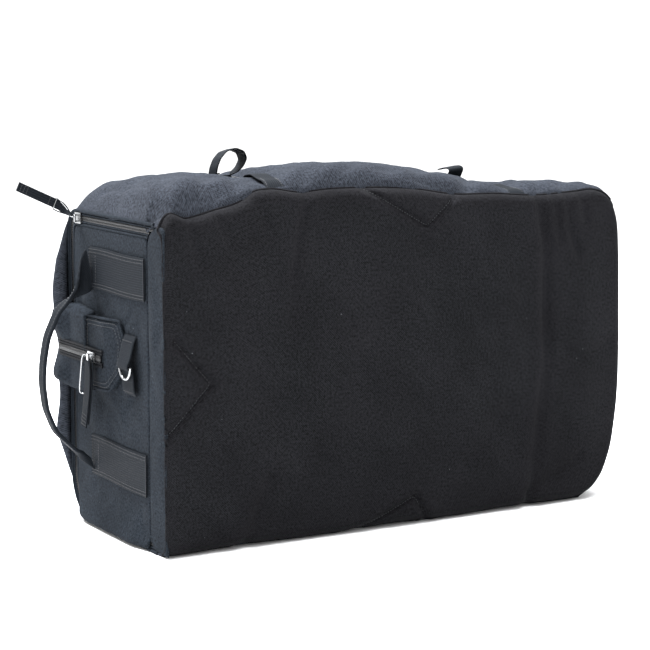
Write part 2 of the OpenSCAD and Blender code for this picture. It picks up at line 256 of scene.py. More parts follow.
def strip_data(path, across, width, thick):
    """Vertices, faces and UVs of flat webbing swept along a path, its width lying along across."""
    path = np.asarray(path, float)
    tangent = unit(np.gradient(path, axis=0))
    across = unit(np.broadcast_to(np.asarray(across, float), path.shape))
    normal = unit(np.cross(tangent, across))
    width = np.broadcast_to(np.asarray(width, float), len(path))
    a, n = np.array(FLAT).T
    verts = (path[:, None] + across[:, None] * (a[None, :, None] * width[:, None, None])
             + normal[:, None] * (n[None, :, None] * thick))
    run = run_along(path)
    uvs = np.stack([a[None] * width[:, None], np.repeat(run[:, None], len(a), 1)], -1)
    k = len(FLAT)
    faces = [tuple(f) for f in grid_faces(len(path), k, True, True)]
    faces += [tuple(range(k))[::-1], tuple(range((len(path) - 1) * k, len(path) * k))]
    return verts.reshape(-1, 3), faces, uvs.reshape(-1, 2)


def tube_data(path, radius, sides=8):
    """Vertices, faces and UVs of a round cord swept along a path."""
    path = np.asarray(path, float)
    tangent = unit(np.gradient(path, axis=0))
    ref = np.array([0.0, 0.0, 1.0]) if abs(tangent[:, 2]).mean() < 0.6 else np.array([0.0, 1.0, 0.0])
    ref = np.array([1.0, 0.0, 0.0]) if np.ptp(path[:, 0]) < 1 else ref
    side = unit(np.cross(tangent, ref))
    up = np.cross(side, tangent)
    turn = np.linspace(0, 2 * math.pi, sides, endpoint=False)
    radius = np.broadcast_to(np.asarray(radius, float), len(path))[:, None, None]
    verts = path[:, None] + radius * (side[:, None] * np.cos(turn)[None, :, None]
                                      + up[:, None] * np.sin(turn)[None, :, None])
    run = run_along(path)
    uvs = np.stack(np.broadcast_arrays(turn[None] * radius[:, :, 0], run[:, None]), -1)
    faces = [tuple(f) for f in grid_faces(len(path), sides, False, True)]
    faces += [tuple(range(sides)), tuple(range((len(path) - 1) * sides, len(path) * sides))[::-1]]
    return verts.reshape(-1, 3), faces, uvs.reshape(-1, 2)


def copies(local, count):
    """Faces of many copies of one eight-point shape."""
    return [tuple(i * 8 + k for k in face) for i in range(count) for face in local]


def stitch_data(path, out, pitch=3.4, length=2.5, fat=0.42):
    """Vertices, faces and UVs of a row of thread stitches lying on a path, raised towards out."""
    points = resample(path, pitch)
    middle = (points[:-1] + points[1:]) / 2
    tangent = unit(np.diff(points, axis=0))
    out = unit(np.broadcast_to(np.asarray(out, float), middle.shape))
    side = unit(np.cross(tangent, out))
    shape = [(-length / 2, 0, -0.3), (-length / 4, fat, 0), (-length / 4, 0, fat), (-length / 4, -fat, 0),
             (length / 4, fat, 0), (length / 4, 0, fat), (length / 4, -fat, 0), (length / 2, 0, -0.3)]
    local = [(0, 1, 2), (0, 2, 3), (1, 4, 5, 2), (2, 5, 6, 3), (4, 7, 5), (5, 7, 6)]
    verts = np.concatenate([middle + tangent * t + side * s + out * o for t, s, o in shape]).reshape(8, -1, 3)
    verts = verts.transpose(1, 0, 2).reshape(-1, 3)
    return verts, copies(local, len(middle)), verts[:, :2]


def block_data(centres, along_dir, side_dir, out_dir, size):
    """Vertices, faces and UVs of small rounded teeth, one at each centre."""
    centres = np.asarray(centres, float)
    a, b, c = (np.broadcast_to(unit(np.asarray(d, float)), centres.shape)
               for d in (along_dir, side_dir, out_dir))
    la, lb, lc = np.array(size) / 2
    shape = [(-la, -lb, -lc), (la, -lb, -lc), (la, lb, -lc), (-la, lb, -lc),
             (-la * 0.6, -lb, lc), (la * 0.6, -lb, lc), (la * 0.6, lb, lc), (-la * 0.6, lb, lc)]
    local = [(0, 3, 2, 1), (4, 5, 6, 7), (0, 1, 5, 4), (1, 2, 6, 5), (2, 3, 7, 6), (3, 0, 4, 7)]
    verts = np.stack([centres + a * p + b * q + c * r for p, q, r in shape], 1).reshape(-1, 3)
    return verts, copies(local, len(centres)), verts[:, 1:]


def joined(name, parts, finish, body, nodes=()):
    """One object from several (vertices, faces, UVs) parts."""
    verts, faces, uvs, start = [], [], [], 0
    for v, f, t in parts:
        verts.append(v)
        uvs.append(t)
        faces += [tuple(i + start for i in face) for face in f]
        start += len(v)
    return finish_piece(name, np.concatenate(verts), faces, np.concatenate(uvs), finish, body, nodes)


# ---------------------------------------------------------------- materials

def add_node(tree, kind, inputs=(), **settings):
    """Adds a node with its settings; each input is a (socket, value or socket to link) pair."""
    made = tree.nodes.new(kind)
    for key, value in settings.items():
        setattr(made, key, value)
    for socket, value in inputs:
        if isinstance(value, bpy.types.NodeSocket):
            tree.links.new(value, made.inputs[socket])
        else:
            made.inputs[socket].default_value = value
    return made


# finish: (record slot, kind, colour property)
FINISHES = {
    # Painted top light: the shell colour is a lighter copy of the body cloth, standing in for the overhead
    # light that falls on the top
    "Woven polyester shell": ("body_fabric", "woven", "shell"),
    # Painted shade: the end colour is a darker copy of the same body cloth, standing in for the shade on the
    # two ends
    "Woven polyester end": ("body_fabric", "woven", "end"),
    # Partly painted shade: the back colour is darker partly as its own cloth and partly as painted shade on
    # the panel facing away from the light
    "Woven polyester back": ("back_panel_fabric", "woven", "back"),
    "Nylon webbing": ("webbing", "webbing", "webbing"),
    "Polyester zip tape": ("zip_tape", "tape", "tape"),
    "Nylon zip coil": ("zip_coil", "moulded", "coil"),
    "Bonded nylon thread": ("webbing", "thread", "thread"),
    "Polyester taffeta lining": ("lining", "woven", "lining"),
    "Closed-cell PE foam": ("foam", "foam", "foam"),
    "Extruded PE stiffener": ("stiffener", "moulded", "stiffener"),
    "Nickel-plated zinc": ("nickel_plate", "metal", "metal"),
    "Moulded acetal": ("acetal", "moulded", "acetal"),
}


def start_material(name):
    made = bpy.data.materials.new(name)
    made.use_nodes = True
    tree = made.node_tree
    tree.nodes.clear()
    shader = add_node(tree, "ShaderNodeBsdfPrincipled")
    add_node(tree, "ShaderNodeOutputMaterial", [("Surface", shader.outputs["BSDF"])])
    return made, tree, shader


def dress(tree, shader, colour, tone, rough=None, bump=None):
    """Feeds a shader what the finishes share: its colour scaled by a tone, a roughness and a bump.

    tone and rough are (socket, to min, to max) or (socket, to min, to max, from min, from max), and
    bump is (strength, depth, socket)."""
    limits = ("Value", "To Min", "To Max", "From Min", "From Max")
    shade = add_node(tree, "ShaderNodeMapRange", zip(limits, tone)).outputs[0]
    dyed = add_node(tree, "ShaderNodeVectorMath", [(0, linear(colour)[:3]), ("Scale", shade)],
                    operation="SCALE")
    tree.links.new(dyed.outputs[0], shader.inputs["Base Color"])
    if rough:
        gloss = add_node(tree, "ShaderNodeMapRange", zip(limits, rough)).outputs[0]
        tree.links.new(gloss, shader.inputs["Roughness"])
    if bump:
        relief = add_node(tree, "ShaderNodeBump", zip(("Strength", "Distance", "Height"), bump)).outputs[0]
        tree.links.new(relief, shader.inputs["Normal"])


def waves(tree, socket, spacing_mm):
    """Height from -1 to 1 of threads lying side by side along one UV direction."""
    scaled = add_node(tree, "ShaderNodeMath", [(0, socket), (1, 2 * math.pi / (spacing_mm * MM))],
                      operation="MULTIPLY")
    return add_node(tree, "ShaderNodeMath", [(0, scaled.outputs[0])], operation="SINE").outputs[0]


def cloth_coordinates(tree):
    uv = add_node(tree, "ShaderNodeTexCoord").outputs["UV"]
    split = add_node(tree, "ShaderNodeSeparateXYZ", [(0, uv)])
    return uv, split.outputs[0], split.outputs[1]


def woven_material(name, colour):
    """Plain-weave polyester: matt, with slubby threads that break up the tone and hold a little lint."""
    sizes = bpy.context.scene.flight_bag_sizes
    made, tree, shader = start_material(name)
    uv, u, v = cloth_coordinates(tree)
    # The real threads are 0.6 mm apart; they are drawn coarser so that the weave still reads
    crossing = add_node(tree, "ShaderNodeMath",
                        [(0, waves(tree, u, sizes.thread)), (1, waves(tree, v, sizes.thread))],
                        operation="MULTIPLY").outputs[0]
    slub = add_node(tree, "ShaderNodeTexNoise", [("Vector", uv), ("Scale", 1 / (2.8 * MM)), ("Detail", 3.0),
                                                 ("Roughness", 0.75)]).outputs["Fac"]
    cloud = add_node(tree, "ShaderNodeTexNoise",
                     [("Vector", uv), ("Scale", 1 / (70 * MM)), ("Detail", 3.0)]).outputs["Fac"]
    height = add_node(tree, "ShaderNodeMath", [(0, crossing), (1, 0.11), (2, slub)],
                      operation="MULTIPLY_ADD").outputs[0]
    tone = add_node(tree, "ShaderNodeMapRange", [("Value", height), ("From Min", 0.3), ("From Max", 0.7),
                                                 ("To Min", 0.25), ("To Max", 1.8)]).outputs[0]
    drift = add_node(tree, "ShaderNodeMapRange", [("Value", cloud), ("From Min", 0.3), ("From Max", 0.7),
                                                  ("To Min", 0.86), ("To Max", 1.14)]).outputs[0]
    shade = add_node(tree, "ShaderNodeMath", [(0, tone), (1, drift)], operation="MULTIPLY").outputs[0]
    dyed = add_node(tree, "ShaderNodeVectorMath", [(0, linear(colour)[:3]), ("Scale", shade)],
                    operation="SCALE").outputs[0]
    specks = add_node(tree, "ShaderNodeTexVoronoi",
                      [("Vector", uv), ("Scale", 1 / (26 * MM))]).outputs["Distance"]
    lint = add_node(tree, "ShaderNodeMath", [(0, specks), (1, 0.022)], operation="LESS_THAN").outputs[0]
    mixed = add_node(tree, "ShaderNodeMix", [("Factor", lint), (6, dyed), (7, linear("#5c5e62"))],
                     data_type="RGBA")
    tree.links.new(mixed.outputs[2], shader.inputs["Base Color"])
    bump = add_node(tree, "ShaderNodeBump", [("Strength", 0.55), ("Distance", 0.5 * MM), ("Height", height)])
    tree.links.new(bump.outputs[0], shader.inputs["Normal"])
    rough = add_node(tree, "ShaderNodeMapRange",
                     [("Value", slub), ("To Min", 0.78), ("To Max", 0.96)]).outputs[0]
    tree.links.new(rough, shader.inputs["Roughness"])
    shader.inputs["IOR"].default_value = 1.5
    shader.inputs["Specular IOR Level"].default_value = 0.03
    shader.inputs["Sheen Weight"].default_value = 0.01
    shader.inputs["Sheen Roughness"].default_value = 0.5
    return made


def webbing_material(name, colour):
    """Heavy nylon webbing: ridged yarns run along it, with a soft sheen on their crowns."""
    made, tree, shader = start_material(name)
    uv, u, v = cloth_coordinates(tree)
    # The real yarns are about 1 mm apart; drawn a little coarser so that the ridges show
    ridges = waves(tree, u, 2.6)
    picks = waves(tree, v, 1.9)
    crossing = add_node(tree, "ShaderNodeMath", [(0, ridges), (1, picks)], operation="MULTIPLY").outputs[0]
    fuzz = add_node(tree, "ShaderNodeTexNoise",
                    [("Vector", uv), ("Scale", 1 / (1.2 * MM)), ("Detail", 2.0)]).outputs["Fac"]
    height = add_node(tree, "ShaderNodeMath", [(0, ridges), (1, 0.3), (2, fuzz)],
                      operation="MULTIPLY_ADD").outputs[0]
    height = add_node(tree, "ShaderNodeMath", [(0, crossing), (1, 0.25), (2, height)],
                      operation="MULTIPLY_ADD").outputs[0]
    dress(tree, shader, colour, (height, 0.5, 1.6, -0.1, 1.1), (fuzz, 0.55, 0.8), (0.6, 0.5 * MM, height))
    shader.inputs["IOR"].default_value = 1.53
    shader.inputs["Specular IOR Level"].default_value = 0.04
    shader.inputs["Sheen Weight"].default_value = 0.005
    return made


def tape_material(name, colour):
    """Herringbone zip tape: fine slanting ribs, slightly smoother than the shell cloth."""
    made, tree, shader = start_material(name)
    uv, u, v = cloth_coordinates(tree)
    fold = add_node(tree, "ShaderNodeMath", [(0, u)], operation="ABSOLUTE").outputs[0]
    slant = add_node(tree, "ShaderNodeMath", [(0, v), (1, fold)], operation="ADD").outputs[0]
    ribs = waves(tree, slant, 1.8)
    fuzz = add_node(tree, "ShaderNodeTexNoise", [("Vector", uv), ("Scale", 1 / (1.0 * MM))]).outputs["Fac"]
    height = add_node(tree, "ShaderNodeMath", [(0, ribs), (1, 0.25), (2, fuzz)],
                      operation="MULTIPLY_ADD").outputs[0]
    dress(tree, shader, colour, (height, 0.6, 1.4, 0.1, 0.9), bump=(0.5, 0.3 * MM, height))
    shader.inputs["Roughness"].default_value = 0.7
    shader.inputs["IOR"].default_value = 1.5
    shader.inputs["Specular IOR Level"].default_value = 0.08
    return made


def thread_material(name, colour):
    """Twisted bonded thread: tight diagonal plies that catch small glints."""
    made, tree, shader = start_material(name)
    place = add_node(tree, "ShaderNodeTexCoord").outputs["Object"]
    twist = add_node(tree, "ShaderNodeTexNoise",
                     [("Vector", place), ("Scale", 1 / (0.8 * MM))]).outputs["Fac"]
    dress(tree, shader, colour, (twist, 0.7, 1.3))
    shader.inputs["Roughness"].default_value = 0.6
    shader.inputs["IOR"].default_value = 1.53
    return made


def moulded_material(name, colour):
    """Moulded or extruded plastic: an even fine mould grain with a soft broad highlight."""
    made, tree, shader = start_material(name)
    place = add_node(tree, "ShaderNodeTexCoord").outputs["Object"]
    # Spark-eroded mould grain is about 0.1 mm; drawn at 0.7 mm so that it breaks the highlight
    grain = add_node(tree, "ShaderNodeTexNoise",
                     [("Vector", place), ("Scale", 1 / (0.7 * MM)), ("Detail", 2.0)]).outputs["Fac"]
    dress(tree, shader, colour, (grain, 0.85, 1.15), (grain, 0.32, 0.52), (0.2, 0.1 * MM, grain))
    shader.inputs["IOR"].default_value = 1.48
    return made


def foam_material(name, colour):
    """Closed-cell foam: matt skin covered in small round cells."""
    made, tree, shader = start_material(name)
    place = add_node(tree, "ShaderNodeTexCoord").outputs["Object"]
    cells = add_node(tree, "ShaderNodeTexVoronoi",
                     [("Vector", place), ("Scale", 1 / (1.8 * MM))]).outputs["Distance"]
    dress(tree, shader, colour, (cells, 0.75, 1.25), bump=(0.4, 0.4 * MM, cells))
    shader.inputs["Roughness"].default_value = 0.95
    return made


def metal_material(name, colour):
    """Nickel plate on cast zinc: bright and slightly warm, with light tumbling marks and handling wear."""
    made, tree, shader = start_material(name)
    place = add_node(tree, "ShaderNodeTexCoord").outputs["Object"]
    marks = add_node(tree, "ShaderNodeTexNoise",
                     [("Vector", place), ("Scale", 1 / (2.5 * MM)), ("Detail", 4.0),
                      ("Roughness", 0.7)]).outputs["Fac"]
    dress(tree, shader, colour, (marks, 0.9, 1.08), (marks, 0.12, 0.34, 0.35, 0.7), (0.12, 0.1 * MM, marks))
    shader.inputs["Metallic"].default_value = 1.0
    return made


KINDS = {"woven": woven_material, "webbing": webbing_material, "tape": tape_material,
         "thread": thread_material, "moulded": moulded_material, "foam": foam_material,
         "metal": metal_material}


def material(finish):
    """The material of a finish, made when it is first asked for."""
    if finish not in bpy.data.materials:
        _, kind, key = FINISHES[finish]
        return KINDS[kind](finish, getattr(bpy.context.scene.flight_bag_colours, key))
    return bpy.data.materials[finish]


# ---------------------------------------------------------------- settings

class FlightBagSizes(bpy.types.PropertyGroup):
    """Sizes of the sewn pieces that aren't fixed by the frame."""
    roll: bpy.props.FloatProperty(
        name="Edge roll", default=13.0, min=4, max=20,
        description="Radius of the back panel's padded edge in millimetres")
    thread: bpy.props.FloatProperty(
        name="Thread spacing", default=2.6, min=0.5, max=6,
        description="Drawn spacing of the shell cloth's threads in millimetres")
    stitch: bpy.props.FloatProperty(
        name="Stitch pitch", default=3.6, min=2, max=8,
        description="Distance between stitches in millimetres")
    piping: bpy.props.FloatProperty(
        name="Piping radius", default=1.8, min=1, max=4,
        description="Radius of the piped edges in millimetres")
    webbing: bpy.props.FloatProperty(
        name="Webbing thickness", default=1.8, min=1, max=3,
        description="Thickness of the webbing in millimetres")


class FlightBagColours(bpy.types.PropertyGroup):
    """Colours of the finishes, as sRGB hex values."""
    # Painted top light: lighter than the end colour, standing in for the overhead light that falls on the top
    shell: bpy.props.StringProperty(
        name="Shell", default="#2b2e34",
        description="Cloth of the top, front and bottom")
    # Painted shade: darker than the shell colour, standing in for the shade on the two ends
    end: bpy.props.StringProperty(name="End", description="Cloth of the two ends", default="#1d2126")
    # Darker partly as the back panel's own cloth and partly as painted shade on a panel facing away from the
    # light
    back: bpy.props.StringProperty(
        name="Back", default="#171719",
        description="Cloth of the padded back panel")
    webbing: bpy.props.StringProperty(
        name="Webbing", default="#171a1e",
        description="Handle, strap and tab webbing")
    tape: bpy.props.StringProperty(
        name="Zip tape", default="#0e0f12",
        description="Woven tape beside the zip coils")
    coil: bpy.props.StringProperty(name="Zip coil", description="Nylon coil of the zips", default="#0b0b0d")
    thread: bpy.props.StringProperty(name="Thread", description="Sewing thread", default="#191b1f")
    lining: bpy.props.StringProperty(name="Lining", description="Taffeta inside the bag", default="#4a4d52")
    foam: bpy.props.StringProperty(name="Foam", description="Padding in the back panel", default="#3a3a3c")
    stiffener: bpy.props.StringProperty(
        name="Stiffener", default="#19191a",
        description="Plastic sheet behind the padding")
    metal: bpy.props.StringProperty(
        name="Metal", default="#9b9c9d",
        description="Plating of the rings, sliders and pulls")
    acetal: bpy.props.StringProperty(
        name="Buckles", default="#0f1012",
        description="Plastic of the strap buckles")
    floor: bpy.props.StringProperty(name="Floor", description="Studio floor", default="#f4f4f4")


# ---------------------------------------------------------------- shell

# Loop positions where each panel of the skin starts and ends
TOP_LOOP, UPPER_LOOP, LOWER_LOOP, BOTTOM_LOOP = (0, 7), (7, 11.2), (11.8, 16.5), (16.5, 21)
RIM_X = RIGHT + 6.0      # where the skin meets the right end


def skin(x, k):
    """Points of the bag's outside at length x (n) and loop position k (m), from the back seam over the top,
    down the front and under the bottom."""
    top = along(x, CREST)
    back = along(x, BACK_TOP)
    flat = along(x, PLATEAU)
    bulge = 7 * np.maximum(0, np.sin(math.pi * (x - LEFT) / (RIGHT - LEFT))) ** 0.5
    end = np.clip((x - LEFT) / 40, 0, 1) ** 0.5
    f = FRONT
    knots = [(BACK + 12, back - 3), (BACK + 17, back + 0.35 * (top - back)),
             (BACK + 30, back + 0.82 * (top - back)), (BACK + 55, top), (-5, (top + flat) / 2 + 2 * end),
             (60, flat), (f - 26, flat - 9 * end), (f - 12, np.minimum(flat - 16 * end, SEAM_Z + 2) - 4),
             (f - 4, 345), (f + bulge * 0.4, 318), (f + bulge, 270), (f, ZIP_Z + 10), (f - 1, ZIP_Z - 10),
             (f + bulge * 0.1, 120), (f + bulge * 0.4, 62), (f - 8, 28), (f - 26, 9), (f - 52, 0.8),
             (40, 0.5), (-50, 0.5), (BACK + 22, 0.8), (BACK + 13, 5)]
    ctrl = np.stack([np.stack(np.broadcast_arrays(y + 0 * x, z), -1) for y, z in knots], 1)
    i = np.clip(np.floor(k).astype(int), 0, len(knots) - 2)
    t = (k - i)[None, :, None]
    p = [ctrl[:, np.clip(i + d, 0, len(knots) - 1)] for d in (-1, 0, 1, 2)]
    yz = 0.5 * (2 * p[1] + (p[2] - p[0]) * t + (2 * p[0] - 5 * p[1] + 4 * p[2] - p[3]) * t ** 2
                + (3 * p[1] - p[0] - 3 * p[2] + p[3]) * t ** 3)
    return yz


def skin_grid(k0, k1, step, rows):
    """Grid of skin points from one loop position to another, with cloth unevenness."""
    x = np.concatenate([LEFT + np.array([0, 1, 2.5, 4.5, 7, 10, 13]), np.arange(LEFT + 16, RIM_X - 1, step),
                        [RIM_X]])
    k = np.linspace(k0, k1, rows)
    yz = skin(x, k)
    grid = np.concatenate([np.repeat(x[:, None, None], rows, 1), yz], 2)
    inner = (np.clip((x - LEFT) / 30, 0, 1) * np.clip((RIM_X - x) / 20, 0, 1))[:, None]
    hem = np.minimum(1, np.minimum(k - k0, k1 - k) * 3)[None]
    reach = np.clip((grid[..., 0] - 140) / 166, 0, 1)
    edge = right_end_x(grid[..., 1], grid[..., 2])
    grid[..., 0] += reach * reach * (3 - 2 * reach) * (edge - RIM_X) * (grid[..., 0] > 140)
    grid[..., 2] += inner * hem * (1.5 * ripple(grid[..., 0], grid[..., 1] + grid[..., 2], 80, 3)
                                   + 0.35 * ripple(grid[..., 0], grid[..., 1] + grid[..., 2], 27, 4))
    return grid


def deck(grid):
    """Settles the top cloth under the strap buckles, and folds it at the stuffed corners."""
    x, y, z = grid[..., 0], grid[..., 1], grid[..., 2]
    for side in ("left", "right"):
        webbing = low(f"strap_webbing_{side}")
        middle = (webbing[0] + high(f"strap_webbing_{side}")[0]) / 2
        near = np.exp(-np.abs((x - middle) / 31) ** 4)
        under = near / (1 + np.exp(-(y + 36) / 4)) / (1 + np.exp((y - 98) / 5))
        z = z + under * (webbing[2] - 1.0 - z)
        z = z - 3.5 * np.exp(-((x - middle) / 15) ** 2) * (y < -45) * np.clip((y - BACK) / 40, 0, 1)
    folds = [
        ([(-283, -88), (-262, -40), (-268, 30)], 9, 4.5), ([(-240, -100), (-222, -60), (-205, 10)], 10, 3.5),
        ([(-293, 10), (-230, 45), (-190, 60)], 11, 3.0), ([(-203, -98), (-190, -60)], 7, 3.5),
        ([(-120, -104), (-96, -60), (-92, 0)], 9, 2.5), ([(95, -100), (110, -50), (95, 20)], 12, 2.5),
        ([(200, -98), (212, -60), (205, 20)], 8, 3.0), ([(232, -98), (228, -50)], 7, 2.0),
        ([(262, -98), (266, -30), (250, 60)], 10, 2.5), ([(30, -98), (60, 30)], 16, 2.0),
        ([(-287, -118), (-290, -98), (-296, -78)], 4.6, 15.0), ([(-284, 66), (-279, 0), (-283, -52)], 4, 4.5),
        ([(-262, -102), (-240, -92), (-225, -98)], 6, 3.0), ([(-296, -40), (-290, 40)], 3, 2.5),
    ]
    for line, width, depth in folds:
        z = z - depth * groove(x, y, line, width) * np.clip((y - BACK - 12) / 6, 0, 1)
    grid[..., 2] = z
    return grid


def top_cloth():
    """Grid of the top panel, from the back seam to the front seam."""
    return deck(skin_grid(*TOP_LOOP, 3.0, 91))


PANEL_SEAMS = [
    [(-289, 236), (-247, 187), (-298, 134)], [(-54, 389), (29, 343), (71, 378)],
    [(-74, -4), (-5, 25), (13, 34), (40, -4)],
]


def back_outline(a, b):
    """Coons patch of the back panel's outline: X and Z at fractions a across and b up."""
    def bottom(t):
        return np.stack([LEFT + t * (along(0, RIGHT_EDGE) - LEFT),
                         1.0 + 2.5 * np.sin(3.0 * t * math.pi) ** 2], -1)

    def top(t):
        x = LEFT + t * (302 - LEFT)
        return np.stack([x, along(x, BACK_TOP)], -1)

    def left(t):
        return np.stack([LEFT + 2.0 * np.exp(-(t / 0.03)), 1.0 + t * (along(LEFT, BACK_TOP) - 1.0)], -1)

    def right(t):
        z = 1.0 + t * (along(302, BACK_TOP) - 1.0)
        return np.stack([along(z, RIGHT_EDGE), z], -1)

    aa, bb = a[..., None], b[..., None]
    corners = [bottom(np.array(0.0)), bottom(np.array(1.0)), top(np.array(0.0)), top(np.array(1.0))]
    return ((1 - bb) * bottom(a) + bb * top(a) + (1 - aa) * left(b) + aa * right(b)
            - (1 - aa) * (1 - bb) * corners[0] - aa * (1 - bb) * corners[1]
            - (1 - aa) * bb * corners[2] - aa * bb * corners[3])


def build_back_panel():
    """Padded back panel: rolled edges, sewn V channels and the creases of a full bag."""
    sizes = bpy.context.scene.flight_bag_sizes
    cols, rows = 261, 171

    def ease(count):
        turn = np.cos(np.linspace(0, math.pi, count))
        return 0.5 - 0.5 * turn * (0.55 + 0.45 * np.abs(turn))

    a, b = np.meshgrid(ease(cols), ease(rows))
    xz = back_outline(a, b)
    x, z = xz[..., 0], xz[..., 1]
    gaps = np.stack([a * 1800 + 11, (1 - a) * 616, b * 370, (1 - b) * 370])
    near = -9 * np.log(np.exp(-np.maximum(gaps, 0) / 9).sum(0))
    inset = np.clip(near, 0, None)
    rolled = np.sqrt(np.maximum(0, 1 - (1 - np.minimum(inset, sizes.roll) / sizes.roll) ** 2))
    soft = np.clip(inset / 60, 0, 1)
    crown = 5.5 * np.sin(math.pi * np.clip(a, 0, 1)) ** 0.5 * np.sin(math.pi * np.clip(b, 0, 1)) ** 0.6
    out = sizes.roll * rolled + crown
    out = out + soft * (1.3 * ripple(x, z, 130, 11) + 0.28 * ripple(x, z, 42, 12))
    for line in PANEL_SEAMS:
        cut = groove(x, z, line, 4.0)
        swell = groove(x, z, line, 17.0)
        out = out - 5.6 * cut + 2.6 * swell - 1.0 * swell * np.abs(ripple(x * 1.5, z * 1.5, 16, 13))
    folds = [([(-124, 392), (-138, 340), (-145, 300)], 6, 3.0), ([(-145, 300), (-150, 230)], 12, 1.0),
             ([(185, 374), (192, 320), (196, 182)], 8, 4.2), ([(194, 166), (178, 6)], 8, 3.4),
             ([(-175, 75), (-204, 3)], 8, 3.0), ([(244, 52), (176, 16)], 9, 3.0),
             ([(141, 125), (84, 64)], 12, 1.6), ([(207, 372), (213, 318)], 6, 2.6),
             ([(225, 372), (228, 330), (240, 300)], 6, 2.4), ([(246, 368), (252, 338)], 6, 2.0),
             ([(216, 181), (240, 176), (288, 188)], 8, 1.6), ([(-268, 352), (-258, 318)], 7, 2.2),
             ([(-235, 364), (-222, 338)], 7, 2.0), ([(-190, 380), (-176, 350)], 8, 2.0),
             ([(-282, 60), (-240, 20)], 9, 2.2), ([(-262, 258), (-240, 246)], 6, 1.2),
             ([(-246, 130), (-225, 100)], 7, 1.2)]
    for line, width, depth in folds:
        out = out - 1.5 * depth * groove(x, z, line, width) + 0.5 * depth * groove(x, z, line, width * 3)
    out = out + 4.0 * np.exp(-((x - 245) / 40) ** 2) * soft * (0.6 + 0.4 * np.cos((z - 180) / 60))
    out = out + 3.0 * np.exp(-((x + 20) / 120) ** 2 - ((z - 190) / 110) ** 2)
    grid = np.stack([x, BACK + sizes.roll - out, np.maximum(z, 0.4)], -1)
    grid[..., 1] = np.maximum(grid[..., 1], BACK - 15)
    panel = sheet("back_panel_cover", grid, "Woven polyester back", "bag_body", ["back_panel_cover"])
    rows_of_thread = []
    for line in PANEL_SEAMS:
        path = smoothed(line, 2.0, 1)
        dx = grid[None, ..., 0] - path[:, None, None, 0]
        dz = grid[None, ..., 2] - path[:, None, None, 1]
        best = (dx ** 2 + dz ** 2).reshape(len(path), -1).argmin(1)
        y = grid[..., 1].ravel()[best]
        rows_of_thread.append(stitch_data(np.stack([path[:, 0], y - 0.2, np.maximum(path[:, 1], 2)], 1),
                                          (0, -1, 0), sizes.stitch))
    joined("back_panel_stitching", rows_of_thread, "Bonded nylon thread", "bag_body")
    edge = np.concatenate([grid[::-1, 0], grid[0]])
    edge = resample(edge, 4.0) + np.array([0, 1.5, 0])
    top_edge = resample(grid[-1], 4.0) + np.array([0, 1.5, 0])
    joined("back_panel_piping", [tube_data(top_edge, sizes.piping), tube_data(edge, sizes.piping)],
           "Woven polyester back", "bag_body")
    inner = [(-284, 30), (235, 30), (284, 80), (286, 330), (-284, 330)]
    y0 = low("back_panel_foam")[1]
    core = pad("back_panel_foam", inner, lambda u, v, h: np.stack([u, y0 + 12.6 - h, v], -1),
               "Closed-cell PE foam", "bag_body", ["back_panel_foam"], height=12.6, roll=5.0, step=9.0)
    y1 = low("stiffener_sheet")[1]
    pad("stiffener_sheet", [(u * 0.97, 180 + (v - 180) * 0.96) for u, v in inner],
        lambda u, v, h: np.stack([u, y1 + 1.5 - h, v], -1), "Extruded PE stiffener", "bag_body",
        ["stiffener_sheet"], height=1.4, roll=1.0, step=9.0)


def stuffed_lip(grid):
    """Flares a front panel's left edge outwards, and turns it in to meet the end zip."""
    z = grid[..., 2]
    full = np.clip((z - 40) / 60, 0, 1) * np.clip((350 - z) / 50, 0, 1) * (grid[..., 1] > FRONT - 14)
    full = full * (1 + 0.12 * np.sin(z / 31.0) + 0.08 * np.sin(z / 13.0))
    full = full * (1 - 0.35 * np.exp(-((z - ZIP_Z) / 14) ** 2))
    near = grid[..., 0] - LEFT
    grid[..., 0] -= 13.0 * full * np.exp(-(near / 18) ** 2)
    grid[..., 1] += 9.0 * full * np.exp(-((near - 5) / 13) ** 2)
    edge = grid[0]
    turn = []
    for dx, dy in ((9.0, -12.0), (4.0, -11.5), (-0.5, -8.5), (-3.0, -4.5), (-2.0, -1.5)):
        turn.append(edge + np.stack([dx * full[0], dy * full[0], 0 * full[0]], -1))
    return np.concatenate([np.stack(turn), grid])


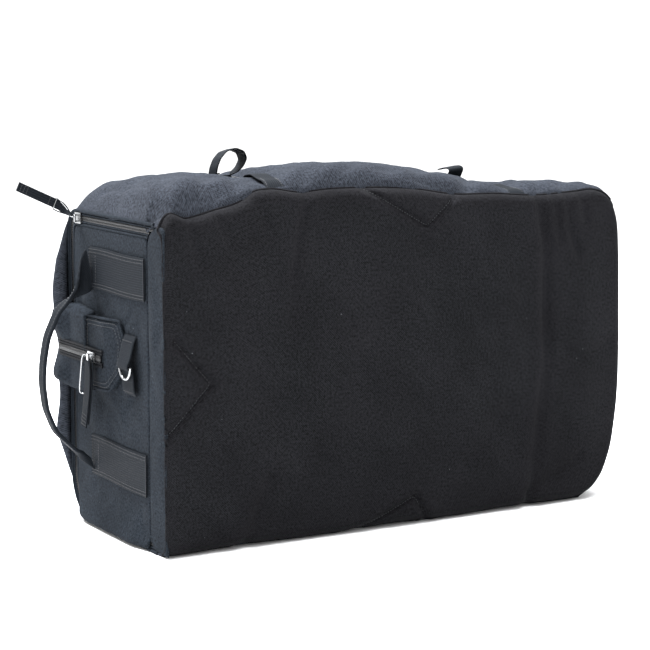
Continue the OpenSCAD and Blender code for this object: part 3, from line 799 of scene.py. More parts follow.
def build_shell():
    """Top, front and bottom panels from one stuffed skin, with the right end."""
    sizes = bpy.context.scene.flight_bag_sizes
    top = top_cloth()
    sheet("top_side_panel", top, "Woven polyester shell", "bag_body", ["top_side_panel"], flip=True)
    upper = skin_grid(*UPPER_LOOP, 4.0, 45)
    upper[:, 0] = top[np.searchsorted(top[:, 0, 0], upper[:, 0, 0]).clip(0, len(top) - 1), -1]
    upper = stuffed_lip(upper)
    sheet("front_upper_panel", upper, "Woven polyester shell", "bag_body", ["front_upper_panel"], flip=True)
    sheet("front_lower_panel", stuffed_lip(skin_grid(*LOWER_LOOP, 4.0, 61)), "Woven polyester shell",
          "bag_body", ["front_lower_panel"], flip=True)
    sheet("bottom_side_panel", skin_grid(*BOTTOM_LOOP, 5.0, 41), "Woven polyester shell", "bag_body",
          ["bottom_side_panel"], flip=True)
    seam = upper[5:, 0]
    joined("top_front_piping", [tube_data(resample(seam, 4.0), sizes.piping)], "Woven polyester shell",
           "bag_body")
    rim = skin(np.array([RIM_X]), np.linspace(TOP_LOOP[0], BOTTOM_LOOP[1], 260))[0]
    centre = np.array([0.0, 180.0])
    wrinkle = lambda u, v: 0.7 * ripple(u, v, 60, 21) - 1.2 * groove(u, v, [(-100, 300), (60, 250)], 20)
    right = pad("right_end_panel", [tuple(p) for p in (centre + (rim - centre) * 0.995)],
                lambda u, v, h: np.stack([right_end_x(u, v) - 3.0 + h, u, v], -1), "Woven polyester end",
                "bag_body", ["right_end_panel"], height=3.5, roll=9.0, dome=1.6, step=6.0, shape=wrinkle)
    loop = np.stack([right_end_x(rim[:, 0], rim[:, 1]), rim[:, 0], rim[:, 1] + 0.8], 1)
    joined("right_end_piping",
           [tube_data(resample(np.concatenate([loop, loop[:1]]), 4.0), sizes.piping * 0.7)],
           "Woven polyester end", "bag_body")


# ---------------------------------------------------------------- left end

def u_path(inset, x, start=None):
    """U-shaped path over the top, front and bottom of the left end, a set distance in from its outline."""
    start = HINGE_Y if start is None else start
    y1, z0, z1 = FRONT - inset, inset, SEAM_Z - inset
    turn = np.linspace(math.pi / 2, 0, 12)
    r = 24 - min(inset, 20)
    upper = np.stack([y1 - r + r * np.cos(turn), z1 - r + r * np.sin(turn)], 1)
    r = 52 - inset
    lower = np.stack([y1 - r + r * np.cos(turn[::-1]), z0 + r - r * np.sin(turn[::-1])], 1)
    path = np.concatenate([[(start, z1)], upper, lower, [(start, z0)]])
    path = resample(path, 3.0)
    return np.stack([np.full(len(path), x), path[:, 0], path[:, 1]], 1)


def inward(path):
    """Directions in the end's plane, square to a path and towards its inside."""
    return unit(np.cross(np.gradient(path, axis=0), np.array([1.0, 0.0, 0.0])))


def belly(y, z):
    """How far the end's stuffed foot stands out past its flat face."""
    rise = np.clip((y - HINGE_Y) / 40, 0, 1)
    front = np.clip((FRONT - 4 - y) / 60, 0, 1)
    return 7.0 * rise * rise * (3 - 2 * rise) * np.sqrt(front) * np.exp(-(np.maximum(z - 4, 0) / 25) ** 2)


def build_end_flap():
    """Left end: fixed band, opening flap with its hem, and the linings behind them."""
    face = LEFT
    zl, zh = low("left_end_band")[2], high("left_end_band")[2]
    def place(u, v, h):
        storm = 3.6 * np.clip((17 - v) / 9, 0, 1) * (u > HINGE_Y - 1)
        return np.stack([face + 2.4 - h - belly(u, v) - storm, u, v], -1)

    band = [(BACK + 1, zl - 1), (HINGE_Y - 8, zl - 1), (HINGE_Y + 0.5, zl + 7), (HINGE_Y + 0.5, zh - 16),
            (HINGE_Y - 7, zh - 6), (HINGE_Y - 20, zh), (BACK + 1, zh - 1)]
    pad("left_end_band", band, place,
        "Woven polyester end", "bag_body", ["left_end_band"], height=2.6, roll=3.0, dome=1.0,
        shape=lambda u, v: 0.5 * ripple(u * 2, v, 60, 31), flip=True)
    line = [(face - 0.2, BACK + 1.4 + 0.5 * math.sin(z / 19), z) for z in np.arange(4, 354, 4.0)]
    joined("left_end_piping", [tube_data(line, 1.2)],
           "Woven polyester end", "bag_body")
    a, b = low("end_flap_panel"), high("end_flap_panel")
    bands = [(low(f"handle_band_{side}")[2] + high(f"handle_band_{side}")[2]) / 2
             for side in ("upper", "lower")]
    calm = lambda v: 1 - np.exp(-((v - bands[0]) / 32) ** 4) - np.exp(-((v - bands[1]) / 32) ** 4)
    hem = lambda u, v: calm(v) * (1.0 * ripple(u, v, 80, 32) + 0.5 * ripple(u, v, 26, 33)
                        - 1.6 * groove(u, v, [(70, 330), (40, 300), (60, 240)], 9)
                        - 1.8 * groove(u, v, [(105, 260), (70, 235), (20, 262)], 9)
                        - 1.8 * groove(u, v, [(105, 140), (70, 160), (10, 138)], 9)
                        - 2.6 * np.exp(-((u + 45) / 30) ** 2 - ((v - 185) / 60) ** 2)
                        - 1.2 * groove(u, v, [(-70, 150), (20, 120)], 12)
                        - 1.5 * groove(u, v, [(-60, 40), (60, 50)], 10))
    curve = u_path(17.5, face)
    rim = [(y, z - 14.5 * np.clip((70 - z) / 40, 0, 1)) if z < 100 else (y, z) for y, z in curve[:, 1:]]
    flap = pad("end_flap_panel", [(a[1] + 0.8, p) for p in np.linspace(6, b[2] - 5, 9)] + rim, place,
               "Woven polyester end", "end_flap", ["end_flap_panel"], height=2.6, roll=3.0, dome=1.2,
               shape=hem)
    a, b = low("end_flap_lining"), high("end_flap_lining")
    pad("end_flap_lining", [(a[1], a[2]), (b[1], a[2]), (b[1], b[2]), (a[1], b[2])],
        lambda u, v, h: np.stack([a[0] + 0.2 + h, u, v], -1), "Polyester taffeta lining", "end_flap",
        ["end_flap_lining"], height=0.8, roll=1.0, dome=1.0, step=6.0, soft=3,
        shape=lambda u, v: 0.6 * ripple(u, v, 50, 34) + 0.5)
    build_lining()


def build_lining():
    """Loose lining bag inside the shell, open at the flap."""
    a, b = low("bag_lining"), high("bag_lining")
    turn = np.linspace(0, 2 * math.pi, 121)[:-1]
    square = [np.sign(wave) * np.abs(wave) ** 0.22 for wave in (np.cos(turn), np.sin(turn))]
    half_y, half_z = (b[1] - a[1]) / 2, (b[2] - a[2]) / 2
    mid_y, mid_z = (a[1] + b[1]) / 2, (a[2] + b[2]) / 2
    closing = np.linspace(0.85, 0.02, 6)[:, None]
    x = np.linspace(a[0], b[0] - 1, 80)
    loose = 3.0 + 2.0 * ripple(x[:, None], turn[None] * 100, 90, 41)
    slack = np.clip((x - a[0]) / 60, 0, 1)[:, None] * loose
    y = mid_y + (half_y - slack) * square[0][None]
    z = mid_z + (half_z - slack) * square[1][None]
    tube = np.stack([np.repeat(x[:, None], 120, 1), y, z], -1)
    inner = np.stack([np.full((6, 120), b[0] - 1.0),
                      mid_y + (y[-1] - mid_y) * closing, mid_z + (z[-1] - mid_z) * closing], -1)
    points = np.concatenate([tube, inner])
    points[..., 0] = np.minimum(points[..., 0], right_end_x(points[..., 1], points[..., 2]) - 7)
    corner = FRONT - 10 - 0.0105 * np.maximum(62 - points[..., 2], 0) ** 2
    points[..., 1] = np.minimum(points[..., 1], corner)
    points[..., 2] = np.maximum(points[..., 2], 6.0)
    uvs = np.stack(np.broadcast_arrays(turn[None] * 90, np.arange(len(points))[:, None] * 7.0), -1)
    finish_piece("bag_lining", points.reshape(-1, 3), grid_faces(len(points), 120, False, True),
                 uvs.reshape(-1, 2), "Polyester taffeta lining", "bag_body", ["bag_lining"], 0.5)


def build_end_zip():
    """End zip round the flap: ribbed tapes, welts and two half coils that part with the flap."""
    x = LEFT
    tuck = HINGE_Y - 15
    tape_o = u_path(6.4, x + 2.6, tuck)
    joined("end_zip_outer_tape", [strip_data(tape_o, inward(tape_o), 6.6, 1.0)], "Polyester zip tape",
           "bag_body", ["end_zip_outer_tape"])
    welts = [tube_data(u_path(2.0, x + 0.4, tuck), 2.0), tube_data(u_path(5.6, x + 1.0, tuck), 1.1)]
    joined("end_zip_outer_welts", welts, "Woven polyester end", "bag_body")
    tape_i = u_path(14.6, x + 2.6)
    joined("end_zip_inner_tape", [strip_data(tape_i, inward(tape_i), 9.0, 1.0)], "Polyester zip tape",
           "end_flap", ["end_zip_inner_tape"])
    joined("end_zip_inner_welts",
           [tube_data(u_path(14.2, x + 1.3), 1.1), tube_data(u_path(17.2, x + 0.8), 1.5)],
           "Woven polyester end", "end_flap")
    for side, inset, body in (("outer", 8.4, "bag_body"), ("inner", 11.6, "end_flap")):
        path = resample(u_path(inset, x + 1.9, tuck if side == "outer" else None), 2.0)
        teeth = block_data(path, np.gradient(path, axis=0), inward(path), (-1, 0, 0), (1.5, 2.9, 2.0))
        joined(f"end_zip_{side}_coil", [teeth], "Nylon zip coil", body, [f"end_zip_{side}_coil"])


def build_handle():
    """Webbing bands stitched over the flap, and the folded bow handle between them."""
    sizes = bpy.context.scene.flight_bag_sizes
    threads = []
    for side in ("upper", "lower"):
        a, b = low(f"handle_band_{side}"), high(f"handle_band_{side}")
        middle, wide = (a[2] + b[2]) / 2, b[2] - a[2]
        y = np.linspace(a[1] + 3.5, b[1], 60)
        lift = 0.4 * np.sin((y - a[1]) / 30)
        path = np.stack([np.full(60, a[0] - 0.4) - lift - belly(y, middle - wide / 2 + 2), y,
                         middle + 0.6 * np.sin(y / 23)], 1)
        joined(f"handle_band_{side}", [strip_data(path, (0, 0, 1), wide - 1, sizes.webbing)], "Nylon webbing",
               "end_flap", [f"handle_band_{side}"])
        top = path - np.array([sizes.webbing / 2 + 0.1, 0, 0])
        for row in (-wide / 2 + 3, -wide / 2 + 6.5, wide / 2 - 6.5, wide / 2 - 3):
            threads.append(stitch_data(top + np.array([0, 0, row]), (-1, 0, 0), sizes.stitch))
        for at in (b[1] - 3, b[1] - 20):
            heights = np.linspace(middle - wide / 2 + 5, middle + wide / 2 - 5, 12)
            column = np.stack([np.full(12, top[0, 0] - 0.3), np.full(12, at), heights], 1)
            threads.append(stitch_data(column, (-1, 0, 0), sizes.stitch))
    joined("handle_band_stitching", threads, "Bonded nylon thread", "end_flap")
    reach, zl, zh = low("end_handle")[0], low("end_handle")[2], high("end_handle")[2]
    y = (low("end_handle")[1] + high("end_handle")[1]) / 2
    x0 = high("end_handle")[0]
    span = zh - zl
    bow = [(x0 + 1.5, zh - 16), (x0 - 2, zh - 19), (x0 - 8, zh - 0.12 * span), (x0 - 16, zh - 0.175 * span),
           (reach + 22, zh - 0.25 * span), (reach + 8, zh - 0.37 * span), (reach + 3, zh - 0.48 * span),
           (reach + 1.5, zh - 0.58 * span), (reach + 5, zh - 0.7 * span), (reach + 16, zh - 0.81 * span),
           (x0 - 18, zl + 0.085 * span), (x0 - 4, zl + 0.04 * span), (x0 + 1.0, zl + 5)]
    path = smoothed([(px, y, pz) for px, pz in bow], 2.5, 2)
    t = np.linspace(0, 1, len(path))
    gusset = np.exp(-(t / 0.09) ** 2)
    wide = 15 + 30 * gusset
    turned = np.clip(1.25 - t / 0.16, 0, 1) + np.clip(1.25 - (1 - t) / 0.1, 0, 1)
    tangent = unit(np.gradient(path, axis=0))
    flat = np.array([0.0, 1.0, 0.0]) + np.stack([0 * t, 0 * t, 0.12 * np.sin(t * 3)], 1)
    edge_on = np.cross(tangent, np.array([0.0, 1.0, 0.0]))
    edge_on = edge_on * 0.3 + np.array([0.0, 0.0, -0.9]) * np.sign(edge_on[:1, 2:] * -1)
    across = flat * (1 - turned)[:, None] + edge_on * turned[:, None]
    joined("end_handle", [strip_data(path, across, wide, 4.2)], "Nylon webbing", "end_handle", ["end_handle"])
    normal = unit(np.cross(tangent, unit(across)))
    rows = [stitch_data((path + unit(across) * (wide * s)[:, None] + normal * 2.2 * n)[12:-6], normal[20] * n,
                        sizes.stitch) for s in (-0.33, 0.33) for n in (-1, 1)]
    joined("end_handle_stitching", rows, "Bonded nylon thread", "end_handle")


# ---------------------------------------------------------------- zip patch, rings and front zip

def build_patches():
    """Hexagonal zip patch that wraps the front corner, its zip, and the plain patch at the right end."""
    sizes = bpy.context.scene.flight_bag_sizes
    a, b = low("zip_patch_left"), high("zip_patch_left")
    plane = a[0]
    mid = (a[2] + b[2]) / 2
    tip = a[1]
    hexagon = [(tip, mid - 15), (tip + 24, mid - 39), (62, mid - 41), (62, mid + 40), (tip + 4, mid + 42),
               (tip - 6, mid + 18)]

    def place(u, v, h):
        stand = np.clip(0.3 + 0.7 * (u - tip + 4) / 36, 0.3, 1)
        return np.stack([LEFT - 0.5 - h * stand, u, v], -1)

    flat = plane - LEFT + 0.5

    def valley(u, v):
        return (12.0 * (1 - np.exp(-((v - ZIP_Z) / 21) ** 2)) - 0.6) * np.clip((u - 102) / 18, 0, 1)

    front = pad("zip_patch_left", hexagon, place, "Woven polyester end", "end_flap", ["zip_patch_left"],
                height=-flat - 1.2, roll=5.0, dome=0.8, step=3.0, flip=True,
                shape=lambda u, v: 0.6 * ripple(u, v, 40, 51)
                - 0.6 * np.exp(-((v - ZIP_Z) / 12) ** 2) * (u > 8))
    wrap = pad("zip_patch_wrap",
               [(56, mid - 46), (100, mid - 53), (FRONT + 14, mid - 48), (FRONT + 17, mid),
                (FRONT + 14, mid + 44), (100, mid + 49), (56, mid + 44)],
               lambda u, v, h: np.stack([LEFT - 1.0 - h, u, v], -1), "Woven polyester end", "end_flap",
               height=-flat - 0.6, roll=11.0, dome=0.6, step=3.0, flip=True,
               shape=lambda u, v: valley(u, v) + 0.4 * ripple(u, v, 34, 52))
    edge = smoothed(hexagon[2:] + hexagon[:3], 2.0, 1)
    ring = place(edge[:, 0], edge[:, 1], np.full(len(edge), -flat - 2.4))
    post = [(plane - 0.6, 59, z) for z in np.arange(mid - 44, mid + 43, 3.0)]
    joined("zip_patch_piping", [tube_data(ring, 1.5), tube_data(post, 2.0)], "Woven polyester end",
           "end_flap")
    centre = np.array([25.0, mid])
    rows = []
    for shrink in (0.9, 0.8):
        line = centre + (edge - centre) * shrink
        rows.append(stitch_data(place(line[:, 0], line[:, 1], np.full(len(line), -flat + 0.1)), (-1, 0, 0),
                                sizes.stitch))
    joined("zip_patch_stitching", rows, "Bonded nylon thread", "end_flap")
    a, b = low("patch_zip_tape"), high("patch_zip_tape")
    y = np.arange(a[1], b[1] + 14, 3.0)
    bend = lambda u: 9.0 * (np.clip(u - 128, 0, 20) / 16) ** 2
    parts = []
    for side in (-1, 1):
        for off, r in ((5.4, 2.6), (8.6, 2.4)):
            path = np.stack([a[0] - 0.3 + bend(y), y, np.full(len(y), ZIP_Z + side * off)], 1)
            parts.append(strip_data(path, (0, 0, 1), r, 1.8))
    joined("patch_zip_tape", parts, "Polyester zip tape", "end_flap", ["patch_zip_tape"])
    teeth = np.arange(low("patch_zip_coil")[1], high("patch_zip_coil")[1] + 13, 2.0)
    path = np.stack([a[0] - 0.8 + bend(teeth), teeth, np.full(len(teeth), ZIP_Z)], 1)
    joined("patch_zip_coil", [block_data(path, (0, 1, 0), (0, 0, 1), (-1, 0, 0), (1.5, 6.4, 2.2))],
           "Nylon zip coil", "end_flap", ["patch_zip_coil"])
    a, b = low("zip_patch_right"), high("zip_patch_right")
    right = [(b[1] - 2, a[2] + 4), (b[1] - 2, b[2] - 4), (40, b[2]), (a[1] + 22, b[2] - 6), (a[1], mid + 16),
             (a[1], mid - 16), (a[1] + 22, a[2] + 6), (40, a[2])]
    out = RIGHT + 3.0
    pad("zip_patch_right", right, lambda u, v, h: np.stack([out + h, u, v], -1), "Woven polyester end",
        "bag_body", ["zip_patch_right"], height=2.5, roll=3.0, dome=1.0, step=3.0)


def build_rings():
    """Ribbed webbing that holds the two D-rings, looped round their bars."""
    sizes = bpy.context.scene.flight_bag_sizes
    threads = {"end_flap": [], "bag_body": []}
    for side, sign, body in (("left", -1, "end_flap"), ("right", 1, "bag_body")):
        a, b = low(f"d_ring_strap_{side}"), high(f"d_ring_strap_{side}")
        middle = (a[1] + b[1]) / 2
        bar = high(f"d_ring_{side}")[2] - 1.5
        face = RIGHT + (4.2 if sign > 0 else 1.4)
        loop = RIGHT + 9.0
        route = [(face, b[2] + 2), (face + 3.5, bar + 26), (loop + 0.5, bar + 8), (loop + 3.3, bar + 2),
                 (loop + 3.0, bar - 2), (loop, bar - 3.4), (loop - 3, bar - 3.8), (face + 4.5, bar - 8),
                 (face + 3.5, bar - 26), (face, a[2])]
        path = smoothed([(sign * px, middle, pz) for px, pz in route], 1.2, 1)
        wide = 29 - 3 * np.exp(-((path[:, 2] - bar) / 7) ** 2)
        joined(f"d_ring_strap_{side}", [strip_data(path, (0, 1, 0), wide, sizes.webbing)], "Nylon webbing",
               body, [f"d_ring_strap_{side}"])
        for z in (bar + 16, bar + 28, bar - 16, bar - 28):
            if z > bar + 20 or z < bar:
                row = [(sign * (face + 4.6), y, z) for y in (middle - 12, middle + 12)]
                threads[body].append(stitch_data(row, (sign, 0, 0), 3.0))
    for body, rows in threads.items():
        joined(f"ring_strap_stitching_{body}", rows, "Bonded nylon thread", body)


def build_front_zip():
    """Long zip across the front, its tapes tucked under the panel edges."""
    a, b = low("main_zip_tapes"), high("main_zip_tapes")
    x = np.arange(a[0], b[0], 4.0)
    parts = []
    for side in (-1, 1):
        path = np.stack([x, np.full(len(x), b[1] - 0.3), np.full(len(x), ZIP_Z + side * 7.0)], 1)
        parts.append(strip_data(path, (0, 0, 1), 9.0, 1.0))
    joined("main_zip_tapes", parts, "Polyester zip tape", "bag_body", ["main_zip_tapes"])
    a, b = low("main_zip_coil"), high("main_zip_coil")
    teeth = np.arange(a[0], b[0], 2.0)
    path = np.stack([teeth, np.full(len(teeth), b[1] - 1.3), np.full(len(teeth), ZIP_Z)], 1)
    joined("main_zip_coil", [block_data(path, (1, 0, 0), (0, 0, 1), (0, 1, 0), (1.5, 6.4, 2.4))],
           "Nylon zip coil", "bag_body", ["main_zip_coil"])


def build_patch_pull(centre, half_run):
    """Patch pull: a doubled tab hanging from the slider at a lean, its wire loop swung to one side."""
    x, y, top = centre[0], centre[1], ZIP_Z - 2
    foot = centre[2] - half_run
    t = np.linspace(0, 1, 40)
    layers, rows = [], []
    lean = np.array([0.0, 0.2, -1.0])
    for side in (-1, 1):
        bow = 1.2 + 1.6 * np.exp(-(t / 0.12)) * (1 - np.exp(-(t / 0.03)))
        leaf = np.stack([x + side * bow + 0.6 * np.sin(t * 4), y + 14 * t ** 1.3, top + (foot - top) * t], 1)
        leaf = leaf[:-2] if side > 0 else leaf
        wide = np.interp(np.linspace(0, 1, len(leaf)), [0, 0.15, 1], [10, 15, 15])
        layers.append(strip_data(leaf, np.cross(lean, [1.0, 0.0, 0.0]), wide, 1.5))
        for at in (0.82, 0.87, 0.92, 0.97):
            spot = leaf[int(at * len(leaf))] + np.array([side * 1.0, 0, 0])
            ends = [spot - np.array([0, 6, 1.2]), spot + np.array([0, 6, 1.2])]
            rows.append(stitch_data(ends, (side, 0, 0), **TAB_STITCH))
    joined("patch_pull_tab", layers, "Nylon webbing", "patch_pull", ["patch_pull_tab"])
    joined("patch_pull_tab_stitching", rows, "Bonded nylon thread", "patch_pull")
    legs = [(x + 0.4, y - 3, ZIP_Z + 0.2), (x - 1.6, y + 1, ZIP_Z + 2.5), (x - 2.6, y + 9, ZIP_Z + 3),
            (x - 3.0, y + 13, ZIP_Z - 3), (x - 3.4, y + 19, ZIP_Z - 34), (x - 3.0, y + 20.5, ZIP_Z - 42),
            (x - 1.0, y + 19, ZIP_Z - 44), (x + 2.4, y + 15, ZIP_Z - 42), (x + 2.8, y + 12, ZIP_Z - 30),
            (x + 2.2, y + 5, ZIP_Z - 3), (x + 0.4, y + 1, ZIP_Z + 0.2), (x + 0.4, y - 3, ZIP_Z + 0.2)]
    joined("patch_pull_wire", [tube_data(smoothed(legs, 1.0, 1), 0.85)], "Nickel-plated zinc", "patch_pull",
           ["patch_pull_wire"])


def build_end_pull(centre, spread, half_run, out):
    """End pull: a doubled tab that has turned on edge, held near its root by a thin wire loop."""
    y_axis = np.array([0.0, 1.0, 0.0])
    root = centre - spread * (half_run + 9)
    above = out * np.sign(out[2]) * 5.5
    s = np.linspace(0, 2 * half_run + 9, 40)
    sag = 1.5 * np.sin(s / 24.0)
    turned = np.clip(s / 16, 0, 1)[:, None]
    across = y_axis * (1 - turned) + out * turned
    layers = []
    for side, last in ((-1, None), (1, -1)):
        leaf = root + spread * s[:, None] + y_axis * (side * 1.0 + 0.5 * sag[:, None]) + above * turned
        wide = 10.5 - 3 * np.exp(-(s / 8) ** 2)
        layers.append(strip_data(leaf[:last], across[:last], wide[:last], 1.5))
    joined("end_pull_tab", layers, "Nylon webbing", "end_pull", ["end_pull_tab"])
    rows = []
    for at in (s[-1] - 4, s[-1] - 8, s[-1] - 12, 32):
        for side in (-1, 1):
            spot = root + spread * at + y_axis * side * 2.0 + above
            rows.append(stitch_data([spot - out * 4, spot + out * 4], y_axis * side, **TAB_STITCH))
    joined("end_pull_tab_stitching", rows, "Bonded nylon thread", "end_pull")
    t = np.linspace(0, 1, 12)[:, None]
    aim = y_axis * (1 - t) + out * t
    half = 4.0 + 2.5 * t
    spine = root - spread * 3 + spread * 28 * t + above * t + y_axis * 1.2
    side_a, side_b = spine + unit(aim) * half, spine - unit(aim) * half
    front = side_b[-1] - y_axis * 5.0
    over = side_a[-1] - y_axis * 5.0
    start = side_a[:1] * 0.5 + side_b[:1] * 0.5
    loop = np.concatenate([start, side_a, [over], [front], side_b[::-1], start])
    joined("end_pull_wire", [tube_data(smoothed(loop, 1.0, 1), 0.8)], "Nickel-plated zinc", "end_pull",
           ["end_pull_wire"])


def build_pull_tabs():
    """Ribbed webbing tabs looped through the wire pulls, stitched shut at the end."""
    tabs = (("patch_pull", (0, 1, 0)), ("front_pull", (1, 0, 0)), ("end_pull", (0, 1, 0)))
    for name, across in tabs:
        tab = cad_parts[f"{name}_tab"]
        co = np.array([v.co for v in tab.data.vertices]) / MM
        centre = co.mean(0)
        spread = np.linalg.svd(co - centre, full_matrices=False)[2][0]
        spread = spread if spread[2] < 0 or name == "end_pull" else -spread
        if name == "end_pull" and spread[0] > 0:
            spread = -spread
        reach = (co - centre) @ spread
        centre = centre + spread * (reach.max() + reach.min()) / 2
        half_run = (reach.max() - reach.min()) / 2
        across = np.array(across, float)
        out = unit(np.cross(spread, across))
        if name == "patch_pull":
            build_patch_pull(centre, half_run)
            continue
        if name == "end_pull":
            build_end_pull(centre, spread, half_run, out)
            continue
        s = np.linspace(-half_run, half_run - 3, 26)
        bow = 1.7 * np.exp(-(s + half_run) / 6) + 1.0
        layers = []
        for sign in (-1, 1):
            layers.append(centre + spread[None] * s[:, None] + out[None] * (sign * bow)[:, None])
        loop = np.concatenate([layers[0][::-1], layers[1]])
        loop[:1] += spread * 2
        parts = [strip_data(smoothed(loop, 1.5, 1), across, 15.0, 1.5)]
        tip = centre + spread * (half_run - 1)
        parts.append(strip_data([tip - spread * 5, tip - spread, tip + spread * 1.5], across, [15, 14, 8],
                                3.2))
        joined(f"{name}_tab", parts, "Nylon webbing", name, [f"{name}_tab"])
        rows = []
        for sign in (-1, 1):
            for at in (half_run - 6, half_run - 10, half_run - 14, -half_run + 12):
                spot = centre + spread * at + out * sign * 1.95
                rows.append(stitch_data([spot - across * 6, spot + across * 6], out * sign, **TAB_STITCH))
        joined(f"{name}_tab_stitching", rows, "Bonded nylon thread", name)


# ---------------------------------------------------------------- top straps

def build_straps():
    """Straps over the top with their buckles' loops and loose, curled ends."""
    sizes = bpy.context.scene.flight_bag_sizes
    threads = []
    top = top_cloth()
    for side, curl in (("left", 16.0), ("right", 8.0)):
        a, b = low(f"strap_webbing_{side}"), high(f"strap_webbing_{side}")
        middle, wide = (a[0] + b[0]) / 2, b[0] - a[0]
        column = top[np.abs(top[:, 0, 0] - middle).argmin()]
        y = np.concatenate([column[:, 1][column[:, 1] < b[1]], [b[1]]])
        z = np.interp(y, column[:, 1], column[:, 2]) + 1.3
        z = np.where(y > b[1] - 12, np.maximum(z, b[2] - 1), z)
        slant = (-12.0 if side == "left" else 0.0) * np.clip((20 - y) / 130, 0, 1)
        crown_x, _, crown_z = top[:, top.shape[1] // 2].T
        z = z + np.interp(middle + slant, crown_x, crown_z) - np.interp(middle, crown_x, crown_z)
        path = smoothed(np.stack([middle + slant, y, z], 1)[2:], 2.5, 1)
        joined(f"strap_webbing_{side}", [strip_data(path, (1, 0, 0), wide - 2, sizes.webbing)],
               "Nylon webbing", "bag_body", [f"strap_webbing_{side}"])
        for off in (-wide / 2 + 3.5, wide / 2 - 3.5):
            threads.append(stitch_data(path[2:14] + np.array([off, 0, 1.1]), (0, 0, 1), sizes.stitch))
        a2, b2 = low(f"buckle_anchor_{side}"), high(f"buckle_anchor_{side}")
        bar_y, bar_z = b2[1] - 3.9, b2[2] - 3.9
        loop = [(b2[1] + 6, a2[2] + 0.6), (bar_y + 4, a2[2] + 1.2), (bar_y + 3.6, bar_z),
                (bar_y, bar_z + 3.3), (bar_y - 3.6, bar_z), (bar_y - 5, a2[2] + 1.4),
                (a2[1] - 4, a2[2] + 0.9)]
        path = smoothed([(middle, py, pz) for py, pz in loop], 1.2, 1)
        joined(f"buckle_anchor_{side}", [strip_data(path, (1, 0, 0), wide - 1, sizes.webbing)],
               "Nylon webbing", "bag_body", [f"buckle_anchor_{side}"])
        p0, p1 = low(f"buckle_plug_{side}"), high(f"buckle_plug_{side}")
        y0, z0, z1 = p0[1], p0[2], p1[2]
        tail = [(y0 + 22.5, z1 + 1.6), (y0 + 18.5, z1 + 1.2), (y0 + 17.4, z1 - 3), (y0 + 16.4, z0 + 1.5),
                (y0 + 11, z0 + 0.6), (y0 + 7.6, z0 + 2.5), (y0 + 6.6, z1), (y0 + 4, z1 + 0.45 * curl),
                (y0 + 0.5, z1 + curl), (y0 - 3.5, z1 + 1.55 * curl), (y0 - 3, z1 + 1.9 * curl),
                (y0 + 4, z1 + 2.08 * curl), (y0 + 15, z1 + 1.95 * curl), (y0 + 22, z1 + 1.7 * curl)]
        tail = [(middle, py, pz) for py, pz in tail]
        if side == "left":
            loop = [(6, 3, 0.35), (13, 1, 0.8), (17, 0, 1.35), (13, -1, 1.85), (2, -2, 2.1), (-10, -2, 1.9),
                    (-17, -1, 1.4), (-20, 1, 0.8), (-20, 4, 0.25), (-14, 8, 0.3)]
            tail = tail[:7] + [(middle + px, y0 + py, z1 + curl * pz) for px, py, pz in loop]
        path = smoothed(tail, 1.2, 1)
        lean = np.clip((path[:, 2] - z1) / (2 * curl), 0, 1)
        across = np.stack([np.ones(len(path)), 0.15 * lean, 0.1 * lean], 1)
        if side == "left":
            twist = np.clip((np.cumsum(path[:, 2] > z1 - 1) - 2) / 14, 0, 1)[:, None]
            across = (1 - twist) * np.array([1.0, 0, 0]) + twist * np.array([0.05, 1.0, -0.12])
        joined(f"strap_tail_{side}", [strip_data(path, across, wide - 2, 1.5)], "Nylon webbing",
               f"buckle_plug_{side}", [f"strap_tail_{side}"])
    joined("strap_stitching", threads, "Bonded nylon thread", "bag_body")


# ---------------------------------------------------------------- hardware and stage

def finish_hardware():
    """Rounds the edges of the metal and plastic CAD pieces and gives them their finishes."""
    metal = ["d_ring_left", "d_ring_right", "patch_slider", "front_slider", "front_pull_wire",
             "end_slider_upper"]
    plastic = ["buckle_socket_left", "buckle_socket_right", "buckle_plug_left", "buckle_plug_right"]
    for names, finish, width in ((metal, "Nickel-plated zinc", 0.3), (plastic, "Moulded acetal", 0.6)):
        for name in names:
            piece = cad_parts[name]
            piece.data.materials.clear()
            piece.data.materials.append(material(finish))
            edge = piece.modifiers.new("Rounded edges", "BEVEL")
            edge.width = width * MM
            edge.segments = 2
            edge.limit_method = "ANGLE"
            edge.harden_normals = False


